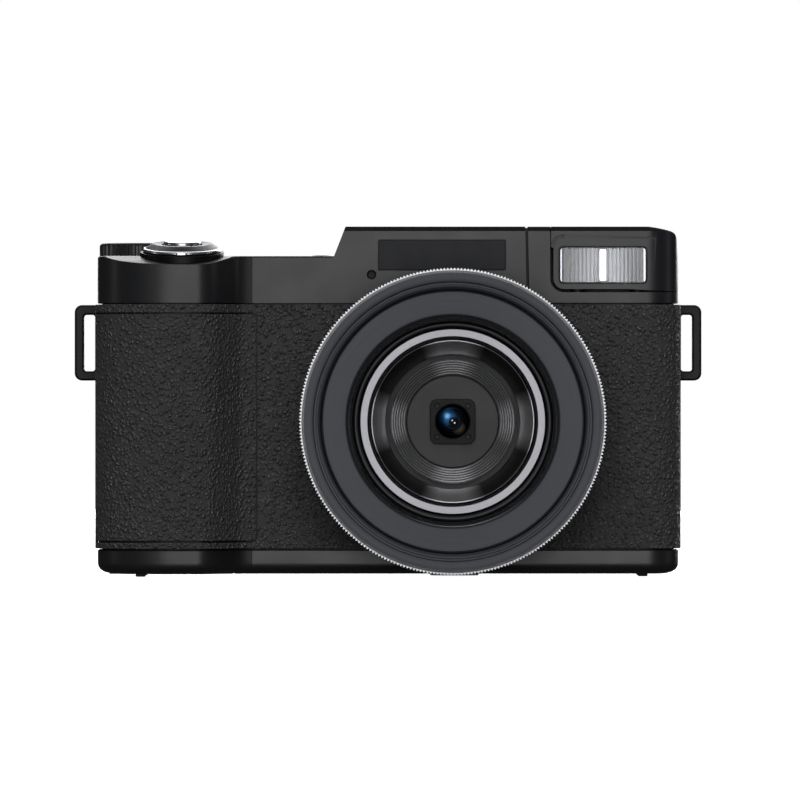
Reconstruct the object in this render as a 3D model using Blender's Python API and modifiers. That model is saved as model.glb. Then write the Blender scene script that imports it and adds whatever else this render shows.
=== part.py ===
"""A compact digital camera with a fixed lens, a pop-up flash and a flip-up screen.

Sizes are named in millimetres and turned into metres as each mesh is made. The camera stands on
its feet at z = 0 and looks along -Y. The grip is on the -X side and +Z is up.
"""

import math

import bmesh
import bpy
from mathutils import Matrix, Vector

MM = 0.001
GAP = 0.3
REACH = 80.0

# Casing
HALF_WIDTH = 58.2
FRONT = -5.0
BACK = 21.0
FRONT_CORNER = 6.5
BACK_CORNER = 4.0
FOOT_RISE = 0.5
PLATE_TOP = 5.3
BAND_LOW = PLATE_TOP + GAP
BAND_HIGH = 54.4
COVER_LOW = BAND_HIGH + GAP
COVER_TOP = 64.1
HUMP_TOP = 70.0
SHELL_SPLIT = 7.8
WALL = 1.6
LEATHER = 0.5

# The grip's plan, from the side of the casing round to its flat front
GRIP_FRONT = -14.0
GRIP_PLAN = [
    (-58.2, 1.0),
    (-57.6, -5.0),
    (-55.0, -9.5),
    (-51.0, -12.1),
    (-45.5, -13.7),
    (-40.0, GRIP_FRONT),
    (-37.0, -13.8),
    (-34.6, -12.3),
    (-32.0, -8.8),
    (-29.8, -6.0),
    (-27.0, FRONT),
]
GRIP_SLOPE = math.radians(14)
GRIP_FRONT_EDGE = 62.3
GRIP_SEAM_X = -26.1
GRIP_SEAM_BACK = 1.7
GRIP_SEAM_LOW = 6.8
GRIP_SEAM_HIGH = 52.8

# Hump, seen from the front
HUMP_LEFT = -10.8
HUMP_SLANT = 2.3
HUMP_RIGHT = 52.2
HUMP_SHOULDER = (57.4, 68.7)
HUMP_SHOULDER_DROP = 8.0
HUMP_BACK = 17.0
HUMP_LEVELS = [(0, COVER_TOP - 2), (0, HUMP_TOP - 0.9), (-0.9, HUMP_TOP)]
SEAM_X = 27.8
SEAM_WIDTH = 0.5
SEAM_LEAN = 0.3

# Name plate and microphone
PLATE_X = (-1.9, 23.5)
PLATE_Z = (61.3, 67.3)
MICROPHONE = (-3.3, 60.4)

# Controls on the top
SHUTTER = Vector((-41.2, -4.6, 64.7))
SHUTTER_TILT = math.radians(7)
SEAT_RADIUS = 8.4
SEAT_DEPTH = 4.0
STEM_ROOM = 2.3
ZOOM_RADIUS = 7.8
BUTTON_RADIUS = 3.7
DIAL = Vector((-50.0, 9.9, 62.1))
DIAL_RADIUS = 8.0
DIAL_HEIGHT = 4.8
DIAL_RIBS = 36
POWER = Vector((-13.4, 6.0, COVER_TOP))
POWER_RADIUS = 2.2

# Flash
FLASH_LEFT = 32.5
FLASH_FLOOR = 56.9
FLASH_DEPTH = 9.0
WINDOW_X = (34.3, 51.7)
WINDOW_Z = (58.7, 65.9)
GUIDES = (38.0, 50.0)
GUIDE_RADIUS = 1.5
GUIDE_Y = 2.0
RELEASE_X = (29.7, 35.7)
RELEASE_Z = (66.5, 68.1)
RELEASE_TRAVEL = 1.6

# Lens: radii, and distances forward of the casing's front
LENS_X = 12.9
LENS_Z = 31.0
LENS = (LENS_X, FRONT, LENS_Z)
TUBE_RADIUS = 28.2
ADAPTER_RADIUS = 30.2
LENS_FRONT = 21.3
BARREL_RADIUS = 20.0
GLASS_RADIUS = 3.5
BEZEL_HALF = 4.5

# Screen and its hinge
SCREEN_X = (-29.0, 49.0)
SCREEN_Z = (6.5, 59.3)
SCREEN_Y = (21.6, 26.0)
PANEL_X = (-25.2, 45.2)
PANEL_Z = (9.3, 56.5)
HINGE_Y = 24.3
HINGE_Z = 61.6
HINGE_RADIUS = 2.0
PIN_RADIUS = 0.8
KNUCKLE_X = (-11.0, 31.0)
BRACKET_X = (-22.0, 42.0)

# Rear keys
PAD = (-43.5, 24.0)
KEY_PROUD = 0.9
KEY_SUNK = 2.6
PAD_RADIUS = 9.4
PAD_INNER_RADIUS = 4.4
OK_RADIUS = 3.9
SMALL_KEY_RADIUS = 2.6
SMALL_KEYS = {"menu_button": (-50.0, 41.0), "play_button": (-37.0, 41.0)}

# Strap lugs
LUG_OUT = 63.0
LUG_Z = (39.2, 54.4)
LUG_Y = (8.1, 11.1)
LUG_BAR = 2.0

# Underside
DOOR_X = (-55.8, -31.0)
DOOR_Y = (-4.5, 11.6)
DOOR_PIN = Vector((-43.4, 13.0, 2.1))
DOOR_THICK = 1.5
DOOR_ROLL_RADIUS = 1.25
LATCH_X = (-47.0, -39.6)
LATCH_Y = (-3.1, -0.4)
DOOR_PIN_RADIUS = 0.6
BOSS_WIDTH = 1.2
BOSS_HALF_DEPTH = 1.3
TRIPOD = Vector((13.3, 6.0, 0.1))
TRIPOD_RADIUS = 5.0
THREAD_RADIUS = 3.2
SOCKET_HEIGHT = 8.9
FEET = {
    "foot_1": (-49.4, -8.4),
    "foot_2": (51.0, 0.0),
    "foot_3": (-49.4, 17.7),
    "foot_4": (51.0, 17.2),
}
FOOT_SIZE = (2.0, 3.0)
FOOT_SUNK = 0.3

# Port door on the right-hand side
PORT_Y = (10.8, 16.8)
PORT_Z = (20.0, 36.0)
SOCKET_Y = (12.0, 15.3)
SOCKET_Z = (22.7, 31.3)

# Name: colour, roughness, metallic
LOOKS = {
    "top_shell": ((0.070, 0.071, 0.076), 0.45, 0.0),
    "shell": ((0.045, 0.045, 0.047), 0.5, 0.0),
    "leather": ((0.032, 0.032, 0.033), 0.6, 0.0),
    "plate": ((0.023, 0.023, 0.027), 0.35, 0.0),
    "black": ((0.012, 0.012, 0.013), 0.35, 0.0),
    "rubber": ((0.02, 0.02, 0.02), 0.8, 0.0),
    "anodised": ((0.045, 0.045, 0.05), 0.35, 0.8),
    "steel": ((0.62, 0.62, 0.64), 0.25, 1.0),
    "silver": ((0.78, 0.78, 0.8), 0.15, 1.0),
    "clear": ((0.85, 0.87, 0.9), 0.1, 0.0),
    "glass": ((0.02, 0.03, 0.07), 0.05, 0.0),
    "board": ((0.02, 0.16, 0.07), 0.6, 0.0),
    "cell": ((0.2, 0.21, 0.24), 0.5, 0.0),
}


def clear_scene():
    for thing in list(bpy.data.objects):
        bpy.data.objects.remove(thing)


def new_collection(name):
    made = bpy.data.collections.new(name)
    bpy.context.scene.collection.children.link(made)
    return made


clear_scene()
PARTS = new_collection("compact_digital_camera")
CUTTERS = new_collection("cutters")


def make_material(name):
    colour, roughness, metallic = LOOKS[name]
    made = bpy.data.materials.new(name)
    made.use_nodes = True
    shader = made.node_tree.nodes["Principled BSDF"]
    shader.inputs["Base Color"].default_value = (*colour, 1.0)
    shader.inputs["Roughness"].default_value = roughness
    shader.inputs["Metallic"].default_value = metallic
    return made


MATERIALS = {name: make_material(name) for name in LOOKS}


# Meshes and modifiers


def place(name, mesh, look=None):
    """Put a mesh into the scene: with a look it is a part, without one it only shapes others."""
    made = bpy.data.objects.new(name, mesh)
    if look is None:
        CUTTERS.objects.link(made)
        made.hide_render = True
        made.display_type = "WIRE"
    else:
        PARTS.objects.link(made)
        mesh.materials.append(MATERIALS[look])
    return made


def weld(mesh):
    shape = bmesh.new()
    shape.from_mesh(mesh)
    bmesh.ops.remove_doubles(shape, verts=shape.verts, dist=0.000001)
    bmesh.ops.recalc_face_normals(shape, faces=shape.faces)
    shape.to_mesh(mesh)
    shape.free()


# How an outline's two directions and its thickness lie in space
PLANES = {
    "plan": Matrix.Identity(4),
    "front": Matrix(((1, 0, 0, 0), (0, 0, 1, 0), (0, 1, 0, 0), (0, 0, 0, 1))),
    "side": Matrix(((0, 0, 1, 0), (1, 0, 0, 0), (0, 1, 0, 0), (0, 0, 0, 1))),
}


def slab(name, outline, low, high, look=None, plane="plan"):
    """A flat outline with a thickness: plan is X and Y, front is X and Z, side is Y and Z."""
    curve = bpy.data.curves.new(name, "CURVE")
    curve.dimensions = "2D"
    curve.fill_mode = "BOTH"
    curve.extrude = (high - low) / 2
    spline = curve.splines.new("POLY")
    spline.points.add(len(outline) - 1)
    for point, (across, along) in zip(spline.points, outline):
        point.co = (across, along, 0, 1)
    spline.use_cyclic_u = True
    guide = bpy.data.objects.new(name, curve)
    CUTTERS.objects.link(guide)
    graph = bpy.context.evaluated_depsgraph_get()
    mesh = bpy.data.meshes.new_from_object(guide.evaluated_get(graph))
    bpy.data.objects.remove(guide)
    lift = Matrix.Translation((0, 0, (low + high) / 2))
    mesh.transform(Matrix.Scale(MM, 4) @ PLANES[plane] @ lift)
    weld(mesh)
    return place(name, mesh, look)


def box(name, across, along, up, look=None):
    shape = bmesh.new()
    bmesh.ops.create_cube(shape, size=1.0)
    low = Vector((across[0], along[0], up[0]))
    high = Vector((across[1], along[1], up[1]))
    size = high - low
    bmesh.ops.scale(shape, verts=shape.verts, vec=size * MM)
    bmesh.ops.translate(shape, verts=shape.verts, vec=(low + high) / 2 * MM)
    mesh = bpy.data.meshes.new(name)
    shape.to_mesh(mesh)
    shape.free()
    return place(name, mesh, look)


def turned(name, profile, centre, look=None, sides=40, turn=(0, 0, 0), ring=True):
    """A profile of (radius, height) points, outer side first and downwards, turned about its Z."""
    mesh = bpy.data.meshes.new(name)
    count = len(profile)
    edges = [(index, index + 1) for index in range(count - 1)]
    if ring:
        edges.append((count - 1, 0))
    mesh.from_pydata([(radius * MM, 0, height * MM) for radius, height in profile], edges, [])
    made = place(name, mesh, look)
    screw = made.modifiers.new("Screw", "SCREW")
    screw.steps = sides
    screw.render_steps = sides
    screw.use_merge_vertices = True
    screw.merge_threshold = 0.00001
    made.location = Vector(centre) * MM
    made.rotation_euler = turn
    return made


def rod(name, radius, low, high, centre, look=None, sides=24, turn=(0, 0, 0)):
    profile = [(0, high), (radius, high), (radius, low), (0, low)]
    return turned(name, profile, centre, look, sides, turn, ring=False)


ALONG_X = (0, math.radians(90), 0)
FORWARD = (math.radians(90), 0, 0)
BACKWARD = (math.radians(-90), 0, 0)


def boolean(part, other, operation):
    step = part.modifiers.new(f"{operation.lower()}_{other.name}", "BOOLEAN")
    step.operation = operation
    step.solver = "EXACT"
    step.object = other


def cut(part, *others):
    for other in others:
        boolean(part, other, "DIFFERENCE")


def keep(part, *others):
    for other in others:
        boolean(part, other, "INTERSECT")


def join(part, *others):
    for other in others:
        boolean(part, other, "UNION")


def round_edges(part, width, segments=1, angle=40):
    step = part.modifiers.new("Bevel", "BEVEL")
    step.width = width * MM
    step.segments = segments
    step.limit_method = "ANGLE"
    step.angle_limit = math.radians(angle)


def hang_on(part, origin):
    """Move a part's origin onto its joint, leaving its shape where it is."""
    shift = Vector(origin) * MM
    part.data.transform(Matrix.Translation(-shift))
    part.location = shift


# Outlines


def arc(centre, radius, start, end, steps):
    """Points on an arc, with its angles in degrees."""
    points = []
    for step in range(steps + 1):
        angle = math.radians(start + (end - start) * step / steps)
        points.append((centre[0] + radius * math.cos(angle), centre[1] + radius * math.sin(angle)))
    return points


def rounded(across, along, radius, steps=3):
    """A rectangle with round corners, anticlockwise."""
    corners = [(across[1], along[1], 0), (across[0], along[1], 90)]
    corners += [(across[0], along[0], 180), (across[1], along[0], 270)]
    points = []
    for x, y, start in corners:
        centre_x = x - math.copysign(radius, x - sum(across) / 2)
        centre_y = y - math.copysign(radius, y - sum(along) / 2)
        points += arc((centre_x, centre_y), radius, start, start + 90, steps)
    return points


def catmull_rom(a, b, c, d, t):
    """A value from b to c on the smooth curve that passes through all four."""
    slope = (c - a) * t
    bend = (2 * a - 5 * b + 4 * c - d) * t**2
    twist = (3 * b - a - 3 * c + d) * t**3
    return 0.5 * (2 * b + slope + bend + twist)


def smooth_through(points, steps):
    """A smooth curve through the points, with some steps between each two."""
    ends = [points[0], *points, points[-1]]
    made = []
    for four in zip(ends, ends[1:], ends[2:], ends[3:]):
        for step in range(steps):
            made.append(tuple(catmull_rom(*values, step / steps) for values in zip(*four)))
    return [*made, points[-1]]


def offset(outline, distance):
    """The outline moved outwards, for an anticlockwise outline."""
    made = []
    for index, point in enumerate(outline):
        back = Vector(point) - Vector(outline[index - 1])
        ahead = Vector(outline[(index + 1) % len(outline)]) - Vector(point)
        normals = [Vector((step.y, -step.x)).normalized() for step in (back, ahead)]
        middle = (normals[0] + normals[1]).normalized()
        moved = Vector(point) + middle * distance / max(middle.dot(normals[0]), 0.3)
        made.append((moved.x, moved.y))
    return made


def casing_plan(distance=0.0):
    """The casing from above, moved outwards by a distance."""
    side = HALF_WIDTH
    plan = arc((side - BACK_CORNER, BACK - BACK_CORNER), BACK_CORNER, 0, 90, 3)
    plan += arc((BACK_CORNER - side, BACK - BACK_CORNER), BACK_CORNER, 90, 180, 3)
    plan += smooth_through(GRIP_PLAN, 2)
    plan += arc((side - FRONT_CORNER, FRONT + FRONT_CORNER), FRONT_CORNER, 270, 360, 5)
    return offset(plan, distance)


def casing(name, distance, low, high, look=None):
    return slab(name, casing_plan(distance), low, high, look)


def casing_loft(name, levels, look=None):
    """The casing's plan at several heights, each moved by its own distance, joined by walls."""
    shape = bmesh.new()
    rings = []
    for distance, height in levels:
        rings.append([shape.verts.new((x * MM, y * MM, height * MM)) for x, y in casing_plan(distance)])
    for lower, upper in zip(rings, rings[1:]):
        for index in range(len(lower)):
            after = (index + 1) % len(lower)
            shape.faces.new((lower[index], lower[after], upper[after], upper[index]))
    shape.faces.new(rings[0][::-1])
    shape.faces.new(rings[-1])
    mesh = bpy.data.meshes.new(name)
    shape.to_mesh(mesh)
    shape.free()
    weld(mesh)
    return place(name, mesh, look)


def soft_casing(name, low, high, look):
    """A casing piece with its upper edge softened."""
    return casing_loft(name, [(0, low), (0, high - 0.7), (-0.2, high - 0.2), (-0.6, high)], look)


def hump_section():
    """The hump from the front, from below the top cover up to its flat top."""
    side = HALF_WIDTH + 5
    bottom = COVER_LOW - 4
    shoulder_x, shoulder_z = HUMP_SHOULDER
    return [
        (side, bottom),
        (side, shoulder_z - HUMP_SHOULDER_DROP),
        (shoulder_x, shoulder_z),
        (shoulder_x - 0.8, shoulder_z + 0.5),
        (HUMP_RIGHT, HUMP_TOP),
        (HUMP_LEFT + HUMP_SLANT, HUMP_TOP),
        (HUMP_LEFT, COVER_TOP),
        (HUMP_LEFT, bottom),
    ]


def round_cutter(name, radius, low, high, centre, sides=24, turn=(0, 0, 0)):
    return rod(name, radius, low, high, centre, None, sides, turn)


def wider(reach, room=GAP):
    """A pair of edges moved apart by a room on each side."""
    return reach[0] - room, reach[1] + room


# Casing pieces


def make_top():
    """The top cover with its hump, cut off at the seam beside the flash surround."""
    cover = soft_casing("top_cover", COVER_LOW, COVER_TOP, "top_shell")
    hump = casing_loft("hump", HUMP_LEVELS)
    keep(hump, slab("hump_section", hump_section(), FRONT - 1, HUMP_BACK, plane="front"))
    join(cover, hump)

    slope = box("grip_slope", (-70, GRIP_SEAM_X), (-REACH, 0), (0, 12))
    slope.rotation_euler = (GRIP_SLOPE, 0, 0)
    rise = (COVER_TOP - GRIP_FRONT_EDGE) / math.tan(GRIP_SLOPE)
    slope.location = (0, (GRIP_FRONT + rise) * MM, COVER_TOP * MM)

    tilt = (SHUTTER_TILT, 0, 0)
    seat = round_cutter("seat_pocket", SEAT_RADIUS + GAP, -SEAT_DEPTH - GAP, 4, SHUTTER, 32, tilt)
    stem = round_cutter("stem_hole", STEM_ROOM, -14, 0, SHUTTER, 16, tilt)
    dial = round_cutter("dial_pocket", DIAL_RADIUS + GAP, -GAP, 9, DIAL, 40)
    shaft = round_cutter("dial_shaft_hole", STEM_ROOM, -9, 0, DIAL, 16)
    power = round_cutter("power_hole", POWER_RADIUS + GAP, -9, 3, POWER, 24)
    cut(cover, slope, seat, stem, dial, shaft, power)

    low_room = casing("low_room", -WALL, COVER_LOW - 1, 58.9)
    high_room = casing("high_room", -WALL, COVER_LOW - 1, COVER_TOP - WALL)
    keep(high_room, box("right_of_grip", (-26, 26), (-40, 40), (50, 70)))
    hump_room = casing("hump_room", -WALL, COVER_LOW - 1, HUMP_TOP - WALL)
    keep(hump_room, box("inside_hump", (HUMP_LEFT + 4, 26), (FRONT, HUMP_BACK - WALL), (50, 69)))
    keep(low_room, box("left_of_seam", (-70, 26), (-40, 40), (50, 60)))
    cut(cover, low_room, high_room, hump_room)

    plate = box("plate_pocket", wider(PLATE_X), (FRONT - 1, FRONT + 0.8), wider(PLATE_Z))
    microphone_place = (MICROPHONE[0], FRONT, MICROPHONE[1])
    microphone = round_cutter("microphone_hole", 0.9, -3, 2, microphone_place, 12, FORWARD)
    cut(cover, plate, microphone)
    cut(cover, seam_side("right_of_seam", SEAM_X - SEAM_WIDTH / 2, 1))


def seam_side(name, edge, side):
    """Everything on one side of the slightly slanted seam between top cover and flash surround."""
    far = edge + side * REACH
    outline = [(edge + SEAM_LEAN, 50), (far, 50), (far, 80), (edge - SEAM_LEAN, 80)]
    return slab(name, outline, -40, 40, plane="front")


def make_surround():
    surround = casing_loft("flash_surround", [(0, COVER_LOW), *HUMP_LEVELS[1:]], "top_shell")
    section = slab("surround_section", hump_section(), -40, HUMP_BACK, plane="front")
    shoulder = box("rear_shoulder", (0, 80), (HUMP_BACK - 1, 40), (50, COVER_TOP))
    join(section, shoulder)
    keep(surround, section)
    cut(surround, seam_side("left_of_surround", SEAM_X + SEAM_WIDTH / 2, -1))
    well = box("flash_well", (FLASH_LEFT, 80), (-40, FLASH_DEPTH), (FLASH_FLOOR, 80))
    cut(surround, well)
    for number, across in enumerate(GUIDES):
        centre = (across, GUIDE_Y, FLASH_FLOOR)
        cut(surround, round_cutter(f"guide_hole_{number}", GUIDE_RADIUS + GAP, -9, 2, centre, 16))
    room = casing("surround_room", -WALL, COVER_LOW - 1, 68.0)
    keep(room, box("behind_flash", (29.6, 80), (FLASH_DEPTH + WALL, 15.2), (50, 68)))
    cut(surround, room)
    slot_x = (RELEASE_X[0] - GAP, RELEASE_X[1] + RELEASE_TRAVEL + GAP)
    cut(surround, box("release_slot", slot_x, (HUMP_BACK - 4, HUMP_BACK + 2), wider(RELEASE_Z)))


def make_front_cover():
    cover = casing("front_cover", -GAP, BAND_LOW, BAND_HIGH, "shell")
    room = casing("front_room", -GAP - WALL, 0, REACH)
    behind = box("behind_front_cover", (-80, 80), (SHELL_SPLIT, 40), (0, 80))
    mouth = round_cutter("lens_mouth", BARREL_RADIUS - 2, -4, 4, LENS, 40, FORWARD)
    cut(cover, room, behind, mouth)


def make_rear_cover():
    cover = casing("rear_cover", 0.0, BAND_LOW, BAND_HIGH, "shell")
    room = casing("rear_room", -WALL, 0, REACH)
    ahead = box("ahead_of_rear_cover", (-80, 80), (-40, SHELL_SPLIT + GAP), (0, 80))
    cut(cover, room, ahead)
    for side in (-1, 1):
        across = sorted((side * (HALF_WIDTH - 4), side * (HALF_WIDTH + 2)))
        cut(cover, box(f"lug_notch_{side}", across, (0, LUG_Y[1] + GAP), (LUG_Z[0] - GAP, 60)))
    port = box("port_pocket", (HALF_WIDTH - 1.3, 60), PORT_Y, PORT_Z)
    socket = box("socket_hole", (HALF_WIDTH - 4, 60), wider(SOCKET_Y), wider(SOCKET_Z))
    cut(cover, port, socket, *key_cutters())


def make_bottom_plate():
    crown = [(-1.6, 0), (-0.6, 0.3), (-0.15, 0.9), (0, 1.7)]
    levels = [(distance, FOOT_RISE + height) for distance, height in crown]
    plate = casing_loft("bottom_plate", [*levels, (0, PLATE_TOP)], "shell")
    room = casing("plate_room", -WALL, FOOT_RISE + WALL, PLATE_TOP + 1)
    doorway = slab("doorway", rounded(wider(DOOR_X), wider(DOOR_Y), 1.5), -1, 10)
    roll_room = box("roll_room", wider(DOOR_X), (DOOR_Y[1] - 1, DOOR_PIN.y + 2.2), (-1, 10))
    screw = round_cutter("tripod_hole", TRIPOD_RADIUS + GAP, -1, 9, TRIPOD, 24)
    cut(plate, room, doorway, roll_room, screw)
    boss_y = (DOOR_PIN.y - BOSS_HALF_DEPTH, DOOR_PIN.y + BOSS_HALF_DEPTH)
    boss_z = (FOOT_RISE + 1, DOOR_PIN.z + 1.4)
    for number, (end, side) in enumerate(zip(DOOR_X, (-1, 1))):
        start = end + side * 0.4
        across = sorted((start, start + side * BOSS_WIDTH))
        join(plate, box(f"pin_boss_{number}", across, boss_y, boss_z))
    half = door_half_length() + 1.2
    cut(plate, round_cutter("pin_bore", DOOR_PIN_RADIUS + 0.1, -half, half, DOOR_PIN, 12, ALONG_X))
    for name, (x, y) in FEET.items():
        pocket_z = (-1, FOOT_RISE + FOOT_SUNK + GAP)
        cut(plate, box(f"{name}_pocket", *foot_reach(x, y, GAP), pocket_z))


def door_half_length():
    return (DOOR_X[1] - DOOR_X[0]) / 2


def foot_reach(x, y, room=0.0):
    half_x = FOOT_SIZE[0] / 2 + room
    half_y = FOOT_SIZE[1] / 2 + room
    return (x - half_x, x + half_x), (y - half_y, y + half_y)


def make_feet():
    for name, (x, y) in FEET.items():
        box(name, *foot_reach(x, y), (0, FOOT_RISE + FOOT_SUNK), "rubber")


def make_leather():
    """The leather-grain band round the front, with a window for the separate grip panel."""
    seam_z = (GRIP_SEAM_LOW, GRIP_SEAM_HIGH)
    for name in ("front_leather", "grip_leather"):
        skin = casing(name, LEATHER, BAND_LOW, BAND_HIGH, "leather")
        inside = casing(f"{name}_inside", 0.0, 0, REACH)
        behind = box(f"{name}_behind", (-80, 80), (SHELL_SPLIT, 40), (0, 80))
        cut(skin, inside, behind)
        if name == "front_leather":
            mouth = round_cutter("leather_mouth", BARREL_RADIUS, -4, 4, LENS, 40, FORWARD)
            cut(skin, mouth, box("grip_window", (-80, GRIP_SEAM_X), (-40, GRIP_SEAM_BACK), seam_z))
        else:
            panel_z = wider(seam_z, -GAP)
            keep(skin, box("grip_panel", (-80, GRIP_SEAM_X - GAP), (-40, GRIP_SEAM_BACK - GAP), panel_z))


def make_trim():
    box("name_plate", PLATE_X, (FRONT - 0.1, FRONT + 0.5), PLATE_Z, "plate")


def make_lugs():
    for name, side in (("strap_lug_left", -1), ("strap_lug_right", 1)):
        outline = rounded((HALF_WIDTH - 3, LUG_OUT), LUG_Z, 1.4)
        slot = rounded((HALF_WIDTH + 0.7, LUG_OUT - LUG_BAR), wider(LUG_Z, -LUG_BAR), 0.4, 2)
        lug = slab(name, outline, *LUG_Y, "black", "front")
        cut(lug, slab(f"{name}_slot", slot, 0, 20, plane="front"))
        if side < 0:
            for shape in (lug, bpy.data.objects[f"{name}_slot"]):
                shape.data.transform(Matrix.Scale(-1, 4, Vector((1, 0, 0))))
                shape.data.flip_normals()


# Controls on the top


def make_top_controls():
    turn = (SHUTTER_TILT, 0, 0)
    seat = [(SEAT_RADIUS, 0), (SEAT_RADIUS, -SEAT_DEPTH), (4.4, -SEAT_DEPTH), (4.4, 0)]
    turned("shutter_seat", seat, SHUTTER, "black", 32, turn)
    ring = [(5.95, 1.95), (7.35, 1.0), (ZOOM_RADIUS, 0.95), (ZOOM_RADIUS, GAP), (4.1, GAP), (4.1, 1.95)]
    turned("zoom_ring", ring, SHUTTER, "steel", 32, turn)
    stem = STEM_ROOM - GAP
    button = [(0, 2.5), (3.0, 2.45), (BUTTON_RADIUS, 2.1), (BUTTON_RADIUS, -0.5)]
    button += [(stem, -0.5), (stem, -9), (0, -9)]
    turned("shutter_button", button, SHUTTER, "silver", 24, turn, ring=False)
    dial = [(0, DIAL_HEIGHT), (DIAL_RADIUS - 0.5, DIAL_HEIGHT), (DIAL_RADIUS, DIAL_HEIGHT - 0.5)]
    dial += [(DIAL_RADIUS, 0), (stem, 0), (stem, -6), (0, -6)]
    turned("mode_dial", dial, DIAL, "black", DIAL_RIBS, ring=False)
    power = [(0, 0.3), (POWER_RADIUS - 0.5, 0.2), (POWER_RADIUS, -0.1)]
    power += [(POWER_RADIUS, -3.5), (0, -3.5)]
    turned("power_button", power, POWER, "plate", 24, ring=False)


# Flash


def make_flash():
    head = casing_loft("flash_head", [(0, FLASH_FLOOR + GAP), *HUMP_LEVELS[1:]], "top_shell")
    keep(head, slab("head_section", hump_section(), -40, FLASH_DEPTH - GAP, plane="front"))
    cut(head, box("left_of_head", (-80, FLASH_LEFT + GAP), (-40, 40), (0, 90)))
    cut(head, box("window_pocket", wider(WINDOW_X), (FRONT - 1, FRONT + 6.0), wider(WINDOW_Z)))
    for number, across in enumerate(GUIDES):
        centre = (across, GUIDE_Y, FLASH_FLOOR)
        join(head, round_cutter(f"guide_{number}", GUIDE_RADIUS, -12.5, 1.5, centre, 12))
    box("flash_window", WINDOW_X, (FRONT + 0.1, FRONT + 1.1), WINDOW_Z, "clear")

    middle = sum(WINDOW_Z) / 2
    mouth = FRONT + 1.4
    back = mouth + 4.2
    low, high = wider(WINDOW_Z, -GAP)
    trough = [(mouth, low), (back, low), (back, high), (mouth, high)]
    trough += arc((mouth, middle), (high - low) / 2 - 0.5, 90, -90, 8)
    slab("flash_reflector", trough, *wider(WINDOW_X, -GAP), "silver", "side")
    half = (WINDOW_X[1] - WINDOW_X[0]) / 2 - 1.2
    centre = (sum(WINDOW_X) / 2, mouth + 1.0, middle)
    rod("flash_tube", 0.8, -half, half, centre, "clear", 10, ALONG_X)
    release = box("flash_release", RELEASE_X, (HUMP_BACK - 3, HUMP_BACK + 0.8), RELEASE_Z, "black")
    round_edges(release, 0.3)
    rod("flash_capacitor", 4.2, -11, 11, (43.0, 2.0, 12.0), "cell", 20, ALONG_X)


# Lens


def lens_turned(name, profile, look, sides=40, ring=True):
    """A ring of the lens, with its heights counted forwards from the casing's front."""
    return turned(name, profile, LENS, look, sides, FORWARD, ring)


def make_lens():
    base = LEATHER + GAP
    tube = [(TUBE_RADIUS, 12.0), (TUBE_RADIUS, base), (9.2, base), (9.2, 2.3)]
    tube += [(24.5, 2.3), (24.5, 7.0), (26.0, 7.0), (26.0, 12.0)]
    lens_turned("lens_tube", tube, "black", 48)
    adapter = [(29.8, LENS_FRONT), (ADAPTER_RADIUS, LENS_FRONT - 0.6), (ADAPTER_RADIUS, 13.5)]
    adapter += [(28.6, 12.5), (25.7, 12.5), (25.7, 8.5), (23.6, 8.5), (23.6, 17.0)]
    adapter += [(26.6, 17.0), (26.6, 20.4), (27.6, LENS_FRONT)]
    lens_turned("adapter_ring", adapter, "black", 48)
    lens_turned("adapter_face", [(26.3, 19.6), (26.3, 17.3), (20.9, 17.3), (20.9, 19.6)], "plate", 48)
    barrel = [(BARREL_RADIUS, 14.0), (BARREL_RADIUS, 2.6), (16.6, 2.6), (16.6, 14.0)]
    barrel += [(17.1, 14.0), (17.1, 12.5), (19.0, 12.5), (19.0, 14.0)]
    lens_turned("inner_barrel", barrel, "black")
    lens_turned("silver_ring", [(18.7, 14.5), (18.7, 12.8), (17.4, 12.8), (17.4, 14.5)], "silver")
    lens_turned("cone_ring", [(16.3, 13.6), (16.3, 6.6), (13.4, 6.6), (13.4, 9.5)], "anodised")
    lens_turned("ridge_ring", [(12.4, 9.0), (12.4, 6.6), (9.4, 6.6), (9.4, 8.0)], "anodised", 32)
    plate = [(9.1, 7.6), (9.1, 6.3), (16.0, 6.3), (16.0, 4.6), (4.0, 4.6), (4.0, 7.6)]
    lens_turned("lens_plate", plate, "plate")
    x_reach = (LENS_X - BEZEL_HALF, LENS_X + BEZEL_HALF)
    z_reach = (LENS_Z - BEZEL_HALF, LENS_Z + BEZEL_HALF)
    bezel = slab("lens_bezel", rounded(x_reach, z_reach, 1.2), FRONT - 9.0, FRONT - 7.9, "black", "front")
    cut(bezel, round_cutter("bezel_hole", GLASS_RADIUS + GAP, 5, 11, LENS, 24, FORWARD))
    glass = [(0, 8.9), (1.8, 8.75), (GLASS_RADIUS, 8.2), (GLASS_RADIUS, 7.2), (0, 7.2)]
    lens_turned("front_element", glass, "glass", 24, ring=False)
    lens_turned("lens_barrel", [(8.5, 4.3), (8.5, -7.4), (4.5, -7.4), (4.5, 4.3)], "black", 32)
    box("image_sensor", (LENS_X - 4.4, LENS_X + 4.4), (2.9, 3.7), (LENS_Z - 3.4, LENS_Z + 3.4), "plate")
    box("sensor_board", (LENS_X - 13, LENS_X + 13), (4.0, 5.2), (LENS_Z - 12, LENS_Z + 12), "board")


# Screen


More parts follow.
